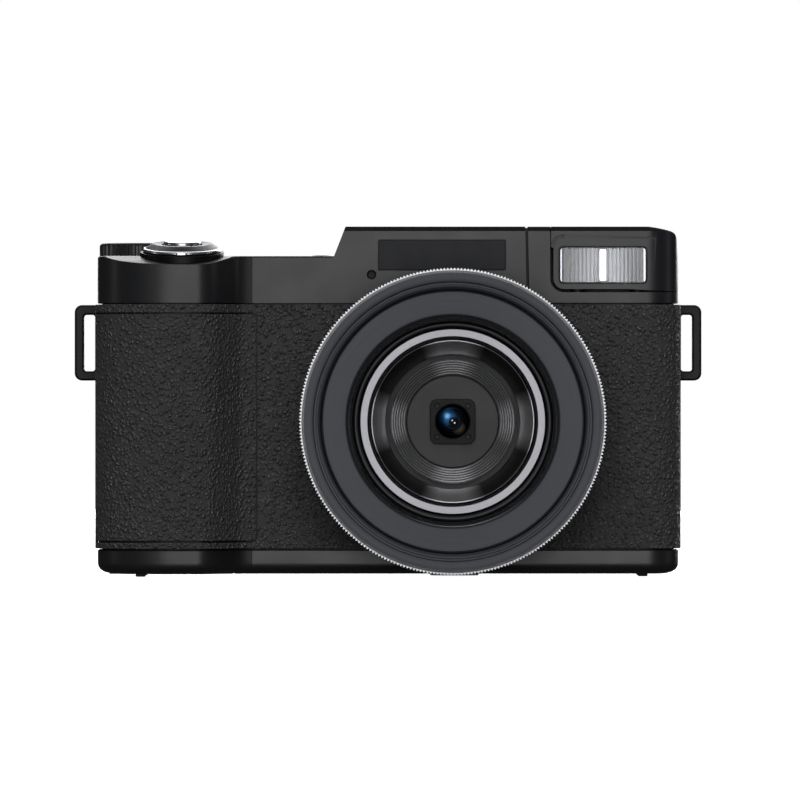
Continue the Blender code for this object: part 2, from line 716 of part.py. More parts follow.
def make_screen():
    tray = slab("screen_housing", rounded(SCREEN_X, SCREEN_Z, 2.0), *SCREEN_Y, "black", "front")
    cut(tray, box("screen_room", wider(PANEL_X), (SCREEN_Y[0] + 1.4, 30), wider(PANEL_Z)))
    web = box("screen_web", KNUCKLE_X, (HINGE_Y - 1.7, HINGE_Y + 1.5), (SCREEN_Z[1] - 0.4, HINGE_Z))
    hinge = (0, HINGE_Y, HINGE_Z)
    knuckle = round_cutter("screen_knuckle", HINGE_RADIUS, *KNUCKLE_X, hinge, 16, ALONG_X)
    bore = round_cutter("hinge_bore", PIN_RADIUS + 0.1, -60, 60, hinge, 12, ALONG_X)
    join(tray, web, knuckle)
    cut(tray, bore)
    hang_on(tray, hinge)
    glass_y = (SCREEN_Y[1] - 1.0, SCREEN_Y[1] - 0.1)
    hang_on(box("screen_glass", PANEL_X, glass_y, PANEL_Z, "glass"), hinge)
    hang_on(box("lcd_panel", PANEL_X, (glass_y[0] - 1.7, glass_y[0] - GAP), PANEL_Z, "plate"), hinge)

    bracket = box("hinge_bracket", BRACKET_X, (BACK + GAP, BACK + 0.9), (59.9, 63.9), "black")
    ends = [(BRACKET_X[0], KNUCKLE_X[0] - GAP), (KNUCKLE_X[1] + GAP, BRACKET_X[1])]
    for number, reach in enumerate(ends):
        web = box(f"bracket_web_{number}", reach, (BACK + 0.5, HINGE_Y), wider((HINGE_Z, HINGE_Z), 1.5))
        end = round_cutter(f"bracket_knuckle_{number}", HINGE_RADIUS, *reach, hinge, 16, ALONG_X)
        join(bracket, web, end)
    cut(bracket, bore)
    rod("hinge_pin", PIN_RADIUS, *wider(BRACKET_X, -1), hinge, "steel", 12, ALONG_X)


# Keys on the back


def pad_ring_piece(middle_angle):
    """A quarter of the direction pad, less a little room beside its neighbours."""
    outer = arc(PAD, PAD_RADIUS, middle_angle - 42, middle_angle + 42, 6)
    return outer + arc(PAD, PAD_INNER_RADIUS, middle_angle + 40, middle_angle - 40, 4)


def key_cutters():
    radius = PAD_RADIUS + GAP
    found = [round_cutter("pad_hole", radius, -9, 9, (PAD[0], BACK, PAD[1]), 32, BACKWARD)]
    radius = SMALL_KEY_RADIUS + GAP
    for name, (x, z) in SMALL_KEYS.items():
        found.append(round_cutter(f"{name}_hole", radius, -9, 9, (x, BACK, z), 16, BACKWARD))
    return found


def make_keys():
    for name, angle in (("nav_up", 90), ("nav_down", 270), ("nav_left", 180), ("nav_right", 0)):
        slab(name, pad_ring_piece(angle), BACK - KEY_SUNK, BACK + KEY_PROUD, "black", "front")
    round_keys = {"ok_button": (*PAD, OK_RADIUS)}
    round_keys.update({name: (x, z, SMALL_KEY_RADIUS) for name, (x, z) in SMALL_KEYS.items()})
    for name, (x, z, radius) in round_keys.items():
        profile = [(0, KEY_PROUD), (radius - 0.3, KEY_PROUD), (radius, KEY_PROUD - 0.3)]
        profile += [(radius, -KEY_SUNK), (0, -KEY_SUNK)]
        turned(name, profile, (x, BACK, z), "black", 16, BACKWARD, ring=False)


# Ports, power and electronics


def make_ports():
    across = (HALF_WIDTH - 1.0, HALF_WIDTH + 0.2)
    door = box("port_door", across, wider(PORT_Y, -GAP), wider(PORT_Z, -GAP), "rubber")
    hang_on(door, (HALF_WIDTH + 0.2, PORT_Y[1] - GAP, PORT_Z[0]))
    socket = box("usb_socket", (50.5, 56.6), SOCKET_Y, SOCKET_Z, "steel")
    cut(socket, box("usb_mouth", (51.5, 60), wider(SOCKET_Y, -0.4), wider(SOCKET_Z, -0.5)))


def make_power():
    top = FOOT_RISE + DOOR_THICK
    door = slab("battery_door", rounded(DOOR_X, DOOR_Y, 1.2), FOOT_RISE, top, "shell")
    cut(door, box("latch_slot", wider(LATCH_X), (LATCH_Y[0] - GAP, LATCH_Y[1] + 1.7), (-1, 5)))
    roll_x = wider(DOOR_X, -1.3)
    roll_half = (roll_x[1] - roll_x[0]) / 2
    arm = box("door_arm", roll_x, (DOOR_Y[1] - 0.6, DOOR_PIN.y), (FOOT_RISE + 0.4, top))
    roll = round_cutter("door_roll", DOOR_ROLL_RADIUS, -roll_half, roll_half, DOOR_PIN, 14, ALONG_X)
    join(door, arm, roll)
    cut(door, round_cutter("door_bore", DOOR_PIN_RADIUS + 0.1, -20, 20, DOOR_PIN, 12, ALONG_X))
    hang_on(door, DOOR_PIN)
    latch = box("door_latch", LATCH_X, LATCH_Y, (FOOT_RISE + 0.1, FOOT_RISE + 2.1), "black")
    hang_on(latch, DOOR_PIN)
    half = door_half_length() + 1.0
    rod("door_pin", DOOR_PIN_RADIUS, -half, half, DOOR_PIN, "steel", 12, ALONG_X)
    box("battery", (-54.0, -31.5), (-2.8, 4.4), (6.0, 50.0), "cell")
    box("memory_card", (-55.4, -31.4), (5.8, 7.9), (6.0, 38.0), "plate")


def make_inside():
    box("main_board", (-26, 50.0), (12.0, 13.6), (12, 52), "board")
    rod("speaker", 6.0, -1.7, 1.7, (-16.0, 16.5, 17.0), "black", 20, BACKWARD)
    thread_end = SOCKET_HEIGHT - 1.4
    socket = [(0, SOCKET_HEIGHT), (TRIPOD_RADIUS, SOCKET_HEIGHT), (TRIPOD_RADIUS, 0)]
    socket += [(THREAD_RADIUS, 0), (THREAD_RADIUS, thread_end), (0, thread_end)]
    turned("tripod_socket", socket, TRIPOD, "steel", 24, ring=False)


def smooth_round_pieces():
    for part in PARTS.objects:
        part.data.shade_smooth()
        part.data.set_sharp_from_angle(angle=math.radians(30))


make_top()
make_surround()
make_front_cover()
make_rear_cover()
make_bottom_plate()
make_feet()
make_leather()
make_trim()
make_lugs()
make_top_controls()
make_flash()
make_lens()
make_screen()
make_keys()
make_ports()
make_power()
make_inside()
smooth_round_pieces()
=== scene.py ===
from math import copysign, cos, pi, radians, sin, tan, tau

import bmesh
import bpy
from mathutils import Matrix, Vector


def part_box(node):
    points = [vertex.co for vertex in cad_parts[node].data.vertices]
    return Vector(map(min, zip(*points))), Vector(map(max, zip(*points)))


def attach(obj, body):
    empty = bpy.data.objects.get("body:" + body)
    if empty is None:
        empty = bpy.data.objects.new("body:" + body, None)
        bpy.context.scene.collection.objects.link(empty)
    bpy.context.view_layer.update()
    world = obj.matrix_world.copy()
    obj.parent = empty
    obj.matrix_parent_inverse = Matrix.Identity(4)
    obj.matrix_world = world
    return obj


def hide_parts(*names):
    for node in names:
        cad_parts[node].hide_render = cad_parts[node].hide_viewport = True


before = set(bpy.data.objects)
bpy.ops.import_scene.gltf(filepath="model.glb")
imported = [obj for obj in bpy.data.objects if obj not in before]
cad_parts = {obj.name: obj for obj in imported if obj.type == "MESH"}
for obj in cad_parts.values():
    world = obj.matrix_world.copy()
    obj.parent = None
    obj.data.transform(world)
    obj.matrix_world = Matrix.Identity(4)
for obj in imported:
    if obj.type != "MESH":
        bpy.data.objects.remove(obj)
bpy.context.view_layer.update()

MM = 0.001


# The frame's sizes


def span(node):
    """A node's lowest and highest corners, in millimetres."""
    low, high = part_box(node)
    return low / MM, high / MM


def middle(node):
    low, high = span(node)
    return (low + high) / 2


LENS = middle("front_element")
FRONT = span("name_plate")[0].y + 0.1
BACK = span("top_cover")[1].y
HALF_WIDTH = span("bottom_plate")[1].x
PLATE_TOP = span("bottom_plate")[1].z
BAND_LOW, BAND_HIGH = span("front_leather")[0].z, span("front_leather")[1].z
COVER_LOW = span("top_cover")[0].z
HUMP_TOP = span("top_cover")[1].z
COVER_TOP = 64.1
DIAL = middle("mode_dial")
DIAL_BASE = Vector((DIAL.x, DIAL.y, 62.1))
POWER = middle("power_button")
SHUTTER = Vector((middle("zoom_ring").x, -4.6, 64.7))
SHUTTER_TILT = radians(7)
GRIP_SLOPE = radians(14)
PAD = middle("ok_button")
MICROPHONE = (-3.3, FRONT, 60.4)
DIAL_RIBS = 36
LENS_CENTRE = (LENS.x, FRONT, LENS.z)
LENS_AXIS = (radians(-90), 0, 0)
UPRIGHT_AXIS = (0, 0, 0)
SPLIT = 7.95
SEAM_X = 27.8
GRIP_SEAM_X = -26.1
GRIP_PANEL_UP = (7.15, 52.45)
GRIP_OPENING_UP = (6.8, 52.8)
LEATHER_INSIDE, LEATHER_OUTSIDE = 0.02, 0.5
EDGE_TURN = 0.12

FORWARD = Matrix.Rotation(radians(90), 4, "X")
BACKWARD = Matrix.Rotation(radians(-90), 4, "X")
ALONG_X = Matrix.Rotation(radians(90), 4, "Y")
UPRIGHT = Matrix.Identity(4)
TILTED = Matrix.Rotation(SHUTTER_TILT, 4, "X")

GRIP_PLAN = [(-58.2, 1.0), (-57.6, -5.0), (-55.0, -9.5), (-51.0, -12.1), (-45.5, -13.7), (-40.0, -14.0)]
GRIP_PLAN += [(-37.0, -13.8), (-34.6, -12.3), (-32.0, -8.8), (-29.8, -6.0), (-27.0, -5.0)]


# Outlines


def arc(centre, radius, start, end, steps):
    """Points on an arc, with its angles in degrees."""
    points = []
    for step in range(steps + 1):
        angle = radians(start + (end - start) * step / steps)
        points.append((centre[0] + radius * cos(angle), centre[1] + radius * sin(angle)))
    return points


def rounded(across, along, radius, steps=6):
    """A rectangle with round corners, anticlockwise."""
    corners = [(across[1], along[1], 0), (across[0], along[1], 90)]
    corners += [(across[0], along[0], 180), (across[1], along[0], 270)]
    points = []
    for x, y, start in corners:
        inner_x = x - copysign(radius, x - sum(across) / 2)
        inner_y = y - copysign(radius, y - sum(along) / 2)
        points += arc((inner_x, inner_y), radius, start, start + 90, steps)
    return points


def rectangle(across, along):
    return [(across[1], along[1]), (across[0], along[1]), (across[0], along[0]), (across[1], along[0])]


def smooth_through(points, steps):
    """A Catmull-Rom curve through the points."""
    ends = [points[0], *points, points[-1]]
    made = []
    for quad in zip(ends, ends[1:], ends[2:], ends[3:]):
        for step in range(steps):
            t = step / steps
            made.append(tuple(catmull(*values, t) for values in zip(*quad)))
    return [*made, points[-1]]


def catmull(a, b, c, d, t):
    slope = (c - a) * t
    bend = (2 * a - 5 * b + 4 * c - d) * t**2
    twist = (3 * b - a - 3 * c + d) * t**3
    return 0.5 * (2 * b + slope + bend + twist)


def offset(outline, distance, closed=True):
    """An anticlockwise outline moved outwards."""
    made = []
    count = len(outline)
    for index, point in enumerate(outline):
        before = outline[index - 1] if closed or index else point
        after = outline[(index + 1) % count] if closed or index < count - 1 else point
        steps = [Vector(point) - Vector(before), Vector(after) - Vector(point)]
        normals = [Vector((step.y, -step.x)).normalized() for step in steps if step.length > 1e-9]
        middle_normal = sum(normals, Vector((0, 0))).normalized()
        reach = distance / max(middle_normal.dot(normals[0]), 0.3)
        moved = Vector(point) + middle_normal * reach
        made.append((moved.x, moved.y))
    return made


def casing_plan(distance=0.0):
    """The casing from above, moved outwards by a distance."""
    side = HALF_WIDTH
    plan = arc((side - 4, BACK - 4), 4, 0, 90, 8)
    plan += arc((4 - side, BACK - 4), 4, 90, 180, 8)
    plan += smooth_through(GRIP_PLAN, 8)
    plan += arc((side - 6.5, FRONT + 6.5), 6.5, 270, 360, 14)
    return offset(plan, distance)


def band_path(distance):
    """The open run of the plan from the left side round the front to the right side."""
    plan = [(-HALF_WIDTH, SPLIT - 0.15), (-HALF_WIDTH, 4.5)]
    plan += smooth_through(GRIP_PLAN, 10)
    count = 60
    for step in range(1, count):
        plan.append((-27.0 + (HALF_WIDTH - 6.5 + 27.0) * step / count, FRONT))
    plan += arc((HALF_WIDTH - 6.5, FRONT + 6.5), 6.5, 270, 360, 20)
    plan += [(HALF_WIDTH, 4.5), (HALF_WIDTH, SPLIT - 0.15)]
    return offset(plan, distance, closed=False)


# Mesh makers


def mesh_object(name, points, faces):
    mesh = bpy.data.meshes.new(name)
    mesh.from_pydata([Vector(point) * MM for point in points], [], faces)
    shape = bmesh.new()
    shape.from_mesh(mesh)
    bmesh.ops.remove_doubles(shape, verts=shape.verts, dist=1e-7)
    bmesh.ops.recalc_face_normals(shape, faces=shape.faces)
    shape.to_mesh(mesh)
    shape.free()
    made = bpy.data.objects.new(name, mesh)
    bpy.context.scene.collection.objects.link(made)
    return made


def loft(name, rings, caps=True):
    """Walls between rings of the same number of points, with flat ends."""
    count = len(rings[0])
    points = [point for ring in rings for point in ring]
    faces = []
    for level in range(len(rings) - 1):
        for index in range(count):
            after = (index + 1) % count
            start = level * count
            faces.append((start + index, start + after, start + count + after, start + count + index))
    if caps:
        faces.append(tuple(range(count))[::-1])
        faces.append(tuple(range((len(rings) - 1) * count, len(rings) * count)))
    return mesh_object(name, points, faces)


def casing(name, levels, caps=True):
    """The casing's plan at several heights, each moved by its own distance."""
    rings = [[(x, y, height) for x, y in casing_plan(distance)] for distance, height in levels]
    return loft(name, rings, caps)


def soft_levels(low, high, radius, steps=4, low_radius=0.0):
    """Levels for a wall whose upper edge is rounded, and its lower edge where a radius is given."""
    levels = []
    for edge, size, way in ((low, low_radius, 1), (high, radius, -1)):
        if size == 0:
            levels.append((0, edge))
            continue
        turn = range(steps + 1) if way < 0 else range(steps, -1, -1)
        for step in turn:
            angle = pi / 2 * step / steps
            levels.append((-size * (1 - cos(angle)), edge + way * size * (1 - sin(angle))))
    return levels


PLANES = {
    "plan": lambda u, v, w: (u, v, w),
    "front": lambda u, v, w: (u, w, v),
    "side": lambda u, v, w: (w, u, v),
}


def slab(name, outline, low, high, plane="plan", soft=0.0, steps=3):
    """An outline with a thickness, its rims rounded by soft."""
    put = PLANES[plane]
    levels = soft_levels(low, high, soft, steps, soft) if soft else [(0, low), (0, high)]
    rings = [[put(u, v, height) for u, v in offset(outline, distance)] for distance, height in levels]
    return loft(name, rings)


def box(name, across, along, up, soft=0.0):
    """A block seen from the front, with rounded edges where soft is given."""
    outline = rounded(across, up, soft * 1.5, 4) if soft else rectangle(across, up)
    return slab(name, outline, *along, "front", soft)


def mesh_box(across, along, up):
    """A plain block for cutting and joining."""
    return slab("block", rectangle(across, along), *up)


def front_cut(name, outline, depth):
    """A cutter that reaches to a depth behind the front face."""
    return slab(name, outline, FRONT - 1, FRONT + depth, "front")


def soften(profile, radius, steps=3, closed=True):
    """A profile with its corners rounded by up to a radius."""
    made = []
    count = len(profile)
    for index, point in enumerate(profile):
        if not closed and index in (0, count - 1):
            made.append(tuple(point))
            continue
        here = Vector(point)
        before = Vector(profile[index - 1]) - here
        after = Vector(profile[(index + 1) % count]) - here
        reach = min(radius, before.length * 0.45, after.length * 0.45)
        start = here + before.normalized() * reach
        end = here + after.normalized() * reach
        for step in range(steps + 1):
            t = step / steps
            spot = start * (1 - t) ** 2 + here * 2 * t * (1 - t) + end * t**2
            made.append((spot.x, spot.y))
    return made


def turned(name, profile, centre, turn=UPRIGHT, sides=192, closed=True, ripple=None):
    """A profile of (radius, height) turned about its axis. Ripple moves a point's radius by angle."""
    rings = []
    for step in range(sides):
        angle = tau * step / sides
        ring = []
        for radius, height in profile:
            reach = radius + (ripple(angle, radius, height) if ripple else 0)
            ring.append((reach * cos(angle), reach * sin(angle), height))
        rings.append(ring)
    count = len(profile)
    points = [point for ring in rings for point in ring]
    last = count if closed else count - 1
    faces = []
    for side in range(sides):
        start, beyond = side * count, (side + 1) % sides * count
        for index in range(last):
            after = (index + 1) % count
            faces.append((start + index, start + after, beyond + after, beyond + index))
    place = Matrix.Translation(Vector(centre)) @ turn
    points = [place @ Vector(point) for point in points]
    return mesh_object(name, points, faces)


def rod(name, radius, low, high, centre, turn=UPRIGHT, sides=64, soft=0.0):
    corners = [(0, high), (radius, high), (radius, low), (0, low)]
    profile = soften(corners, soft, 3, closed=False) if soft else corners
    return turned(name, profile, centre, turn, sides, closed=False)


def applied(thing):
    """Settle an object's modifiers into its mesh."""
    graph = bpy.context.evaluated_depsgraph_get()
    mesh = bpy.data.meshes.new_from_object(thing.evaluated_get(graph))
    thing.modifiers.clear()
    thing.data = mesh
    return thing


def combine(thing, operation, *others):
    for other in others:
        step = thing.modifiers.new(operation, "BOOLEAN")
        step.operation = operation
        step.solver = "EXACT"
        step.object = other
    applied(thing)
    for other in others:
        bpy.data.objects.remove(other)
    return thing


def cut(thing, *others):
    return combine(thing, "DIFFERENCE", *others)


def keep(thing, *others):
    return combine(thing, "INTERSECT", *others)


def join(thing, *others):
    return combine(thing, "UNION", *others)


def merge(thing, *others):
    """Put the others' meshes into the first one's, as they are."""
    shape = bmesh.new()
    for part in (thing, *others):
        shape.from_mesh(part.data)
    shape.to_mesh(thing.data)
    shape.free()
    for other in others:
        bpy.data.objects.remove(other)
    return thing


def break_edges(thing, width, segments=2, angle=35):
    """Round the edges that are sharper than an angle."""
    step = thing.modifiers.new("Bevel", "BEVEL")
    step.width = width * MM
    step.segments = segments
    step.limit_method = "ANGLE"
    step.angle_limit = radians(angle)
    step.use_clamp_overlap = True
    step.harden_normals = False
    return applied(thing)


def settle(thing, body, look, slot, *nodes, sharp=32):
    """Give a piece its material, its body and the CAD nodes that it stands for."""
    thing.data.materials.clear()
    thing.data.materials.append(LOOKS[look])
    thing.data.shade_smooth()
    thing.data.set_sharp_from_angle(angle=radians(sharp))
    flatter = thing.modifiers.new("Flatter", "WEIGHTED_NORMAL")
    flatter.keep_sharp = True
    applied(thing)
    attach(thing, body)
    if nodes:
        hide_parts(*nodes)
    return thing


# Materials: each is a Principled BSDF with its own procedural detail


class Paint:
    """A material's node tree, with short calls for the nodes that repeat."""

    def __init__(self, name, colour, roughness, metallic=0.0, **sockets):
        self.material = bpy.data.materials.new(name)
        self.material.use_nodes = True
        self.tree = self.material.node_tree
        self.shader = self.tree.nodes["Principled BSDF"]
        self.shader.inputs["Base Color"].default_value = (*colour, 1.0)
        self.shader.inputs["Roughness"].default_value = roughness
        self.shader.inputs["Metallic"].default_value = metallic
        for socket, value in sockets.items():
            self.shader.inputs[socket.replace("_", " ")].default_value = value
        self.colour = colour
        self.roughness = roughness

    def add(self, kind, values=None, **settings):
        made = self.tree.nodes.new("ShaderNode" + kind)
        for key, value in settings.items():
            setattr(made, key, value)
        for key, value in (values or {}).items():
            made.inputs[key].default_value = value
        return made

    def link(self, source, target):
        self.tree.links.new(source, target)

    def place(self, scale=(1, 1, 1), centre=(0, 0, 0), turn=(0, 0, 0)):
        """The object's own coordinates in metres, scaled and measured from a centre."""
        where = self.add("TexCoord").outputs["Object"]
        back = [-value * MM for value in centre]
        for key, value in (("Location", back), ("Rotation", turn), ("Scale", scale)):
            mapping = self.add("Mapping", {key: value})
            self.link(where, mapping.inputs["Vector"])
            where = mapping.outputs["Vector"]
        return where

    def split(self, where):
        """A place's three coordinates."""
        parts = self.add("SeparateXYZ")
        self.link(where, parts.inputs[0])
        return parts.outputs

    def noise(self, where, size, detail=2.0, rough=0.5):
        """Noise whose blobs are about size millimetres across."""
        made = self.add("TexNoise", {"Scale": 1 / (size * MM), "Detail": detail, "Roughness": rough})
        self.link(where, made.inputs["Vector"])
        return made.outputs["Fac"]

    def cells(self, where, size, feature="F1", jitter=1.0):
        made = self.add("TexVoronoi", {"Scale": 1 / (size * MM), "Randomness": jitter}, feature=feature)
        self.link(where, made.inputs["Vector"])
        return made.outputs["Distance"]

    def math(self, operation, first, second=0.0, clamp=False):
        made = self.add("Math", operation=operation, use_clamp=clamp)
        for socket, value in zip(made.inputs, (first, second)):
            if isinstance(value, (int, float)):
                socket.default_value = value
            else:
                self.link(value, socket)
        return made.outputs[0]

    def weigh(self, *terms):
        """A sum of values, each times its weight."""
        parts = [self.math("MULTIPLY", value, weight) for value, weight in terms]
        return self.math("ADD", *parts)

    def length(self, x, y):
        squares = self.math("ADD", self.math("MULTIPLY", x, x), self.math("MULTIPLY", y, y))
        return self.math("SQRT", squares)

    def spread(self, value, low, high, to_low, to_high):
        """A value from one range moved to another, and held inside it."""
        limits = {1: low, 2: high, 3: to_low, 4: to_high}
        made = self.add("MapRange", limits, clamp=True)
        self.link(value, made.inputs[0])
        return made.outputs[0]

    def blend(self, factor, first, second):
        made = self.add("Mix", data_type="RGBA")
        for socket, value in ((made.inputs[0], factor), (made.inputs[6], first), (made.inputs[7], second)):
            if isinstance(value, tuple):
                socket.default_value = (*value, 1.0)
            else:
                self.link(value, socket)
        return made.outputs[2]

    def tint(self, factor, low, high):
        """Colour from low to high times the paint's own colour."""
        dark = tuple(channel * low for channel in self.colour)
        light = tuple(channel * high for channel in self.colour)
        self.link(self.blend(factor, dark, light), self.shader.inputs["Base Color"])

    def gloss(self, factor, low, high):
        self.link(self.spread(factor, 0.0, 1.0, low, high), self.shader.inputs["Roughness"])

    def bump(self, height, depth, under=None):
        """Raise the surface by up to depth millimetres."""
        made = self.add("Bump", {"Strength": 1.0, "Distance": depth * MM})
        self.link(height, made.inputs["Height"])
        if under:
            self.link(under, made.inputs["Normal"])
        self.link(made.outputs["Normal"], self.shader.inputs["Normal"])
        return made.outputs["Normal"]


def satin(name, colour, roughness=0.42, grain=0.22, depth=0.012, metallic=0.0, **sockets):
    """Fine-textured satin paint or moulded plastic with faint cloudiness."""
    paint = Paint(name, colour, roughness, metallic, **sockets)
    where = paint.place()
    fine = paint.noise(where, grain, 3.0, 0.6)
    cloud = paint.noise(where, 9.0, 2.0)
    paint.tint(paint.weigh((fine, 0.5), (cloud, 0.5)), 0.86, 1.14)
    paint.gloss(cloud, roughness - 0.06, roughness + 0.06)
    paint.bump(fine, depth)
    return paint.material


def leather(name, colour):
    """Pebbled leather grain: rounded cells with creases between them and fine pores, its colour darker in the
    creases and lighter on the pebble tops, partly the grain's tone and partly painted shade.
    """
    paint = Paint(name, colour, 0.5, 0.0, Specular_IOR_Level=1.0, IOR=1.78)
    base = paint.place()
    warp = paint.add("TexNoise", {"Scale": 1 / (1.6 * MM), "Detail": 2.0})
    paint.link(base, warp.inputs["Vector"])
    shift = paint.add("VectorMath", operation="SCALE")
    shift.inputs["Scale"].default_value = 0.55 * MM
    paint.link(warp.outputs["Color"], shift.inputs[0])
    moved = paint.add("VectorMath", operation="ADD")
    paint.link(base, moved.inputs[0])
    paint.link(shift.outputs[0], moved.inputs[1])
    where = moved.outputs[0]
    pebbles = paint.spread(paint.cells(where, 0.78), 0.0, 0.62, 1.0, 0.0)
    creases = paint.spread(paint.cells(where, 1.9, "DISTANCE_TO_EDGE"), 0.0, 0.16, 0.0, 1.0)
    pores = paint.noise(where, 0.16, 2.0)
    rounded_height = paint.math("POWER", pebbles, 0.7)
    height = paint.math("MULTIPLY", rounded_height, paint.spread(creases, 0.0, 1.0, 0.35, 1.0))
    height = paint.math("ADD", height, paint.math("MULTIPLY", pores, 0.12))
    cloud = paint.noise(base, 7.0, 2.0)
    # Colour follows the grain's height: darker creases and lighter pebble tops, partly the leather's tone and
    # partly painted shade and highlight.
    tone_and_painted_shade = paint.weigh((height, 0.72), (cloud, 0.28))
    paint.tint(tone_and_painted_shade, 0.2, 2.0)
    paint.gloss(height, 0.88, 0.28)
    paint.bump(height, 0.62)
    return paint.material


def turned_metal(name, colour, roughness, centre, axis, metallic=1.0, line=0.05, tone_and_sheen_contrast=0.5, painted_sheen_sectors=0.0):
    """Metal turned on a lathe: fine rings about its axis, with four lighter sectors of painted reflection
    where asked.
    """
    paint = Paint(name, colour, roughness, metallic, Anisotropic=0.75)
    x, y, depth = paint.split(paint.place(centre=centre, turn=axis))
    radius = paint.length(x, y)
    along = paint.add("CombineXYZ")
    paint.link(paint.math("MULTIPLY", radius, 1 / (line * MM)), along.inputs[0])
    paint.link(paint.math("MULTIPLY", depth, 1 / (line * MM)), along.inputs[1])
    rings = paint.add("TexNoise", {"Scale": 1.0, "Detail": 3.0})
    paint.link(along.outputs[0], rings.inputs["Vector"])
    tangent = paint.add("Tangent", direction_type="RADIAL", axis="Z" if axis == UPRIGHT_AXIS else "Y")
    paint.link(tangent.outputs[0], paint.shader.inputs["Tangent"])
    shade = rings.outputs["Fac"]
    # Painted reflection: four lighter sectors by angle about the axis, mixed into the colour with the ring
    # marks.
    if painted_sheen_sectors:
        angle = paint.math("MULTIPLY", paint.math("ARCTAN2", y, x), 4.0)
        wave = paint.math("COSINE", angle)
        light = paint.spread(wave, -0.1, 0.75, 0.0, 1.0)
        shade = paint.weigh((light, painted_sheen_sectors), (shade, 1 - painted_sheen_sectors))
    paint.tint(shade, 1 - tone_and_sheen_contrast * 0.5, 1 + tone_and_sheen_contrast * 0.5)
    paint.gloss(rings.outputs["Fac"], max(roughness - 0.08, 0.03), roughness + 0.1)
    paint.bump(rings.outputs["Fac"], 0.006)
    return paint.material


def lens_metal(name, colour, roughness, *rest):
    """Metal turned about the lens's axis."""
    return turned_metal(name, colour, roughness, LENS_CENTRE, LENS_AXIS, *rest)


def brushed(name, colour, roughness, scale):
    """Metal with brushed lines, which run the way that the scale is smallest."""
    paint = Paint(name, colour, roughness, 1.0, Anisotropic=0.6)
    lines = paint.noise(paint.place(scale), 0.1, 3.0)
    smudge = paint.noise(paint.place(), 5.0, 2.0)
    paint.tint(lines, 0.78, 1.2)
    paint.gloss(paint.weigh((lines, 0.6), (smudge, 0.4)), roughness - 0.08, roughness + 0.12)
    paint.bump(lines, 0.008)
    return paint.material


def polished(name, colour, roughness, metallic=0.0, smear=0.08, **sockets):
    """A smooth surface with faint wipe marks and hairline scratches."""
    paint = Paint(name, colour, roughness, metallic, **sockets)
    smears = paint.noise(paint.place(scale=(1, 1, 0.35)), 4.0, 4.0)
    scratches = paint.noise(paint.place(scale=(0.06, 1, 1)), 0.12, 2.0)
    marks = paint.weigh((smears, 0.8), (scratches, 0.2))
    paint.tint(marks, 0.9, 1.1)
    paint.gloss(marks, max(roughness - smear, 0.02), roughness + smear)
    paint.bump(scratches, 0.0006)
    return paint.material


def clear_plastic(name, colour, roughness):
    paint = Paint(name, colour, roughness, 0.0, Transmission_Weight=1.0, IOR=1.49)
    haze = paint.noise(paint.place(), 2.5, 3.0)
    paint.gloss(haze, max(roughness - 0.02, 0.0), roughness + 0.04)
    paint.bump(haze, 0.002)
    return paint.material


def circuit(name, colour):
    """Solder mask with tracks under it."""
    paint = Paint(name, colour, 0.4)
    where = paint.place()
    tracks = paint.cells(where, 1.4, "DISTANCE_TO_EDGE", 0.35)
    raised = paint.spread(tracks, 0.03, 0.09, 1.0, 0.0)
    paint.tint(raised, 0.7, 1.9)
    paint.gloss(paint.noise(where, 2.0), 0.3, 0.5)
    paint.bump(raised, 0.03)
    return paint.material


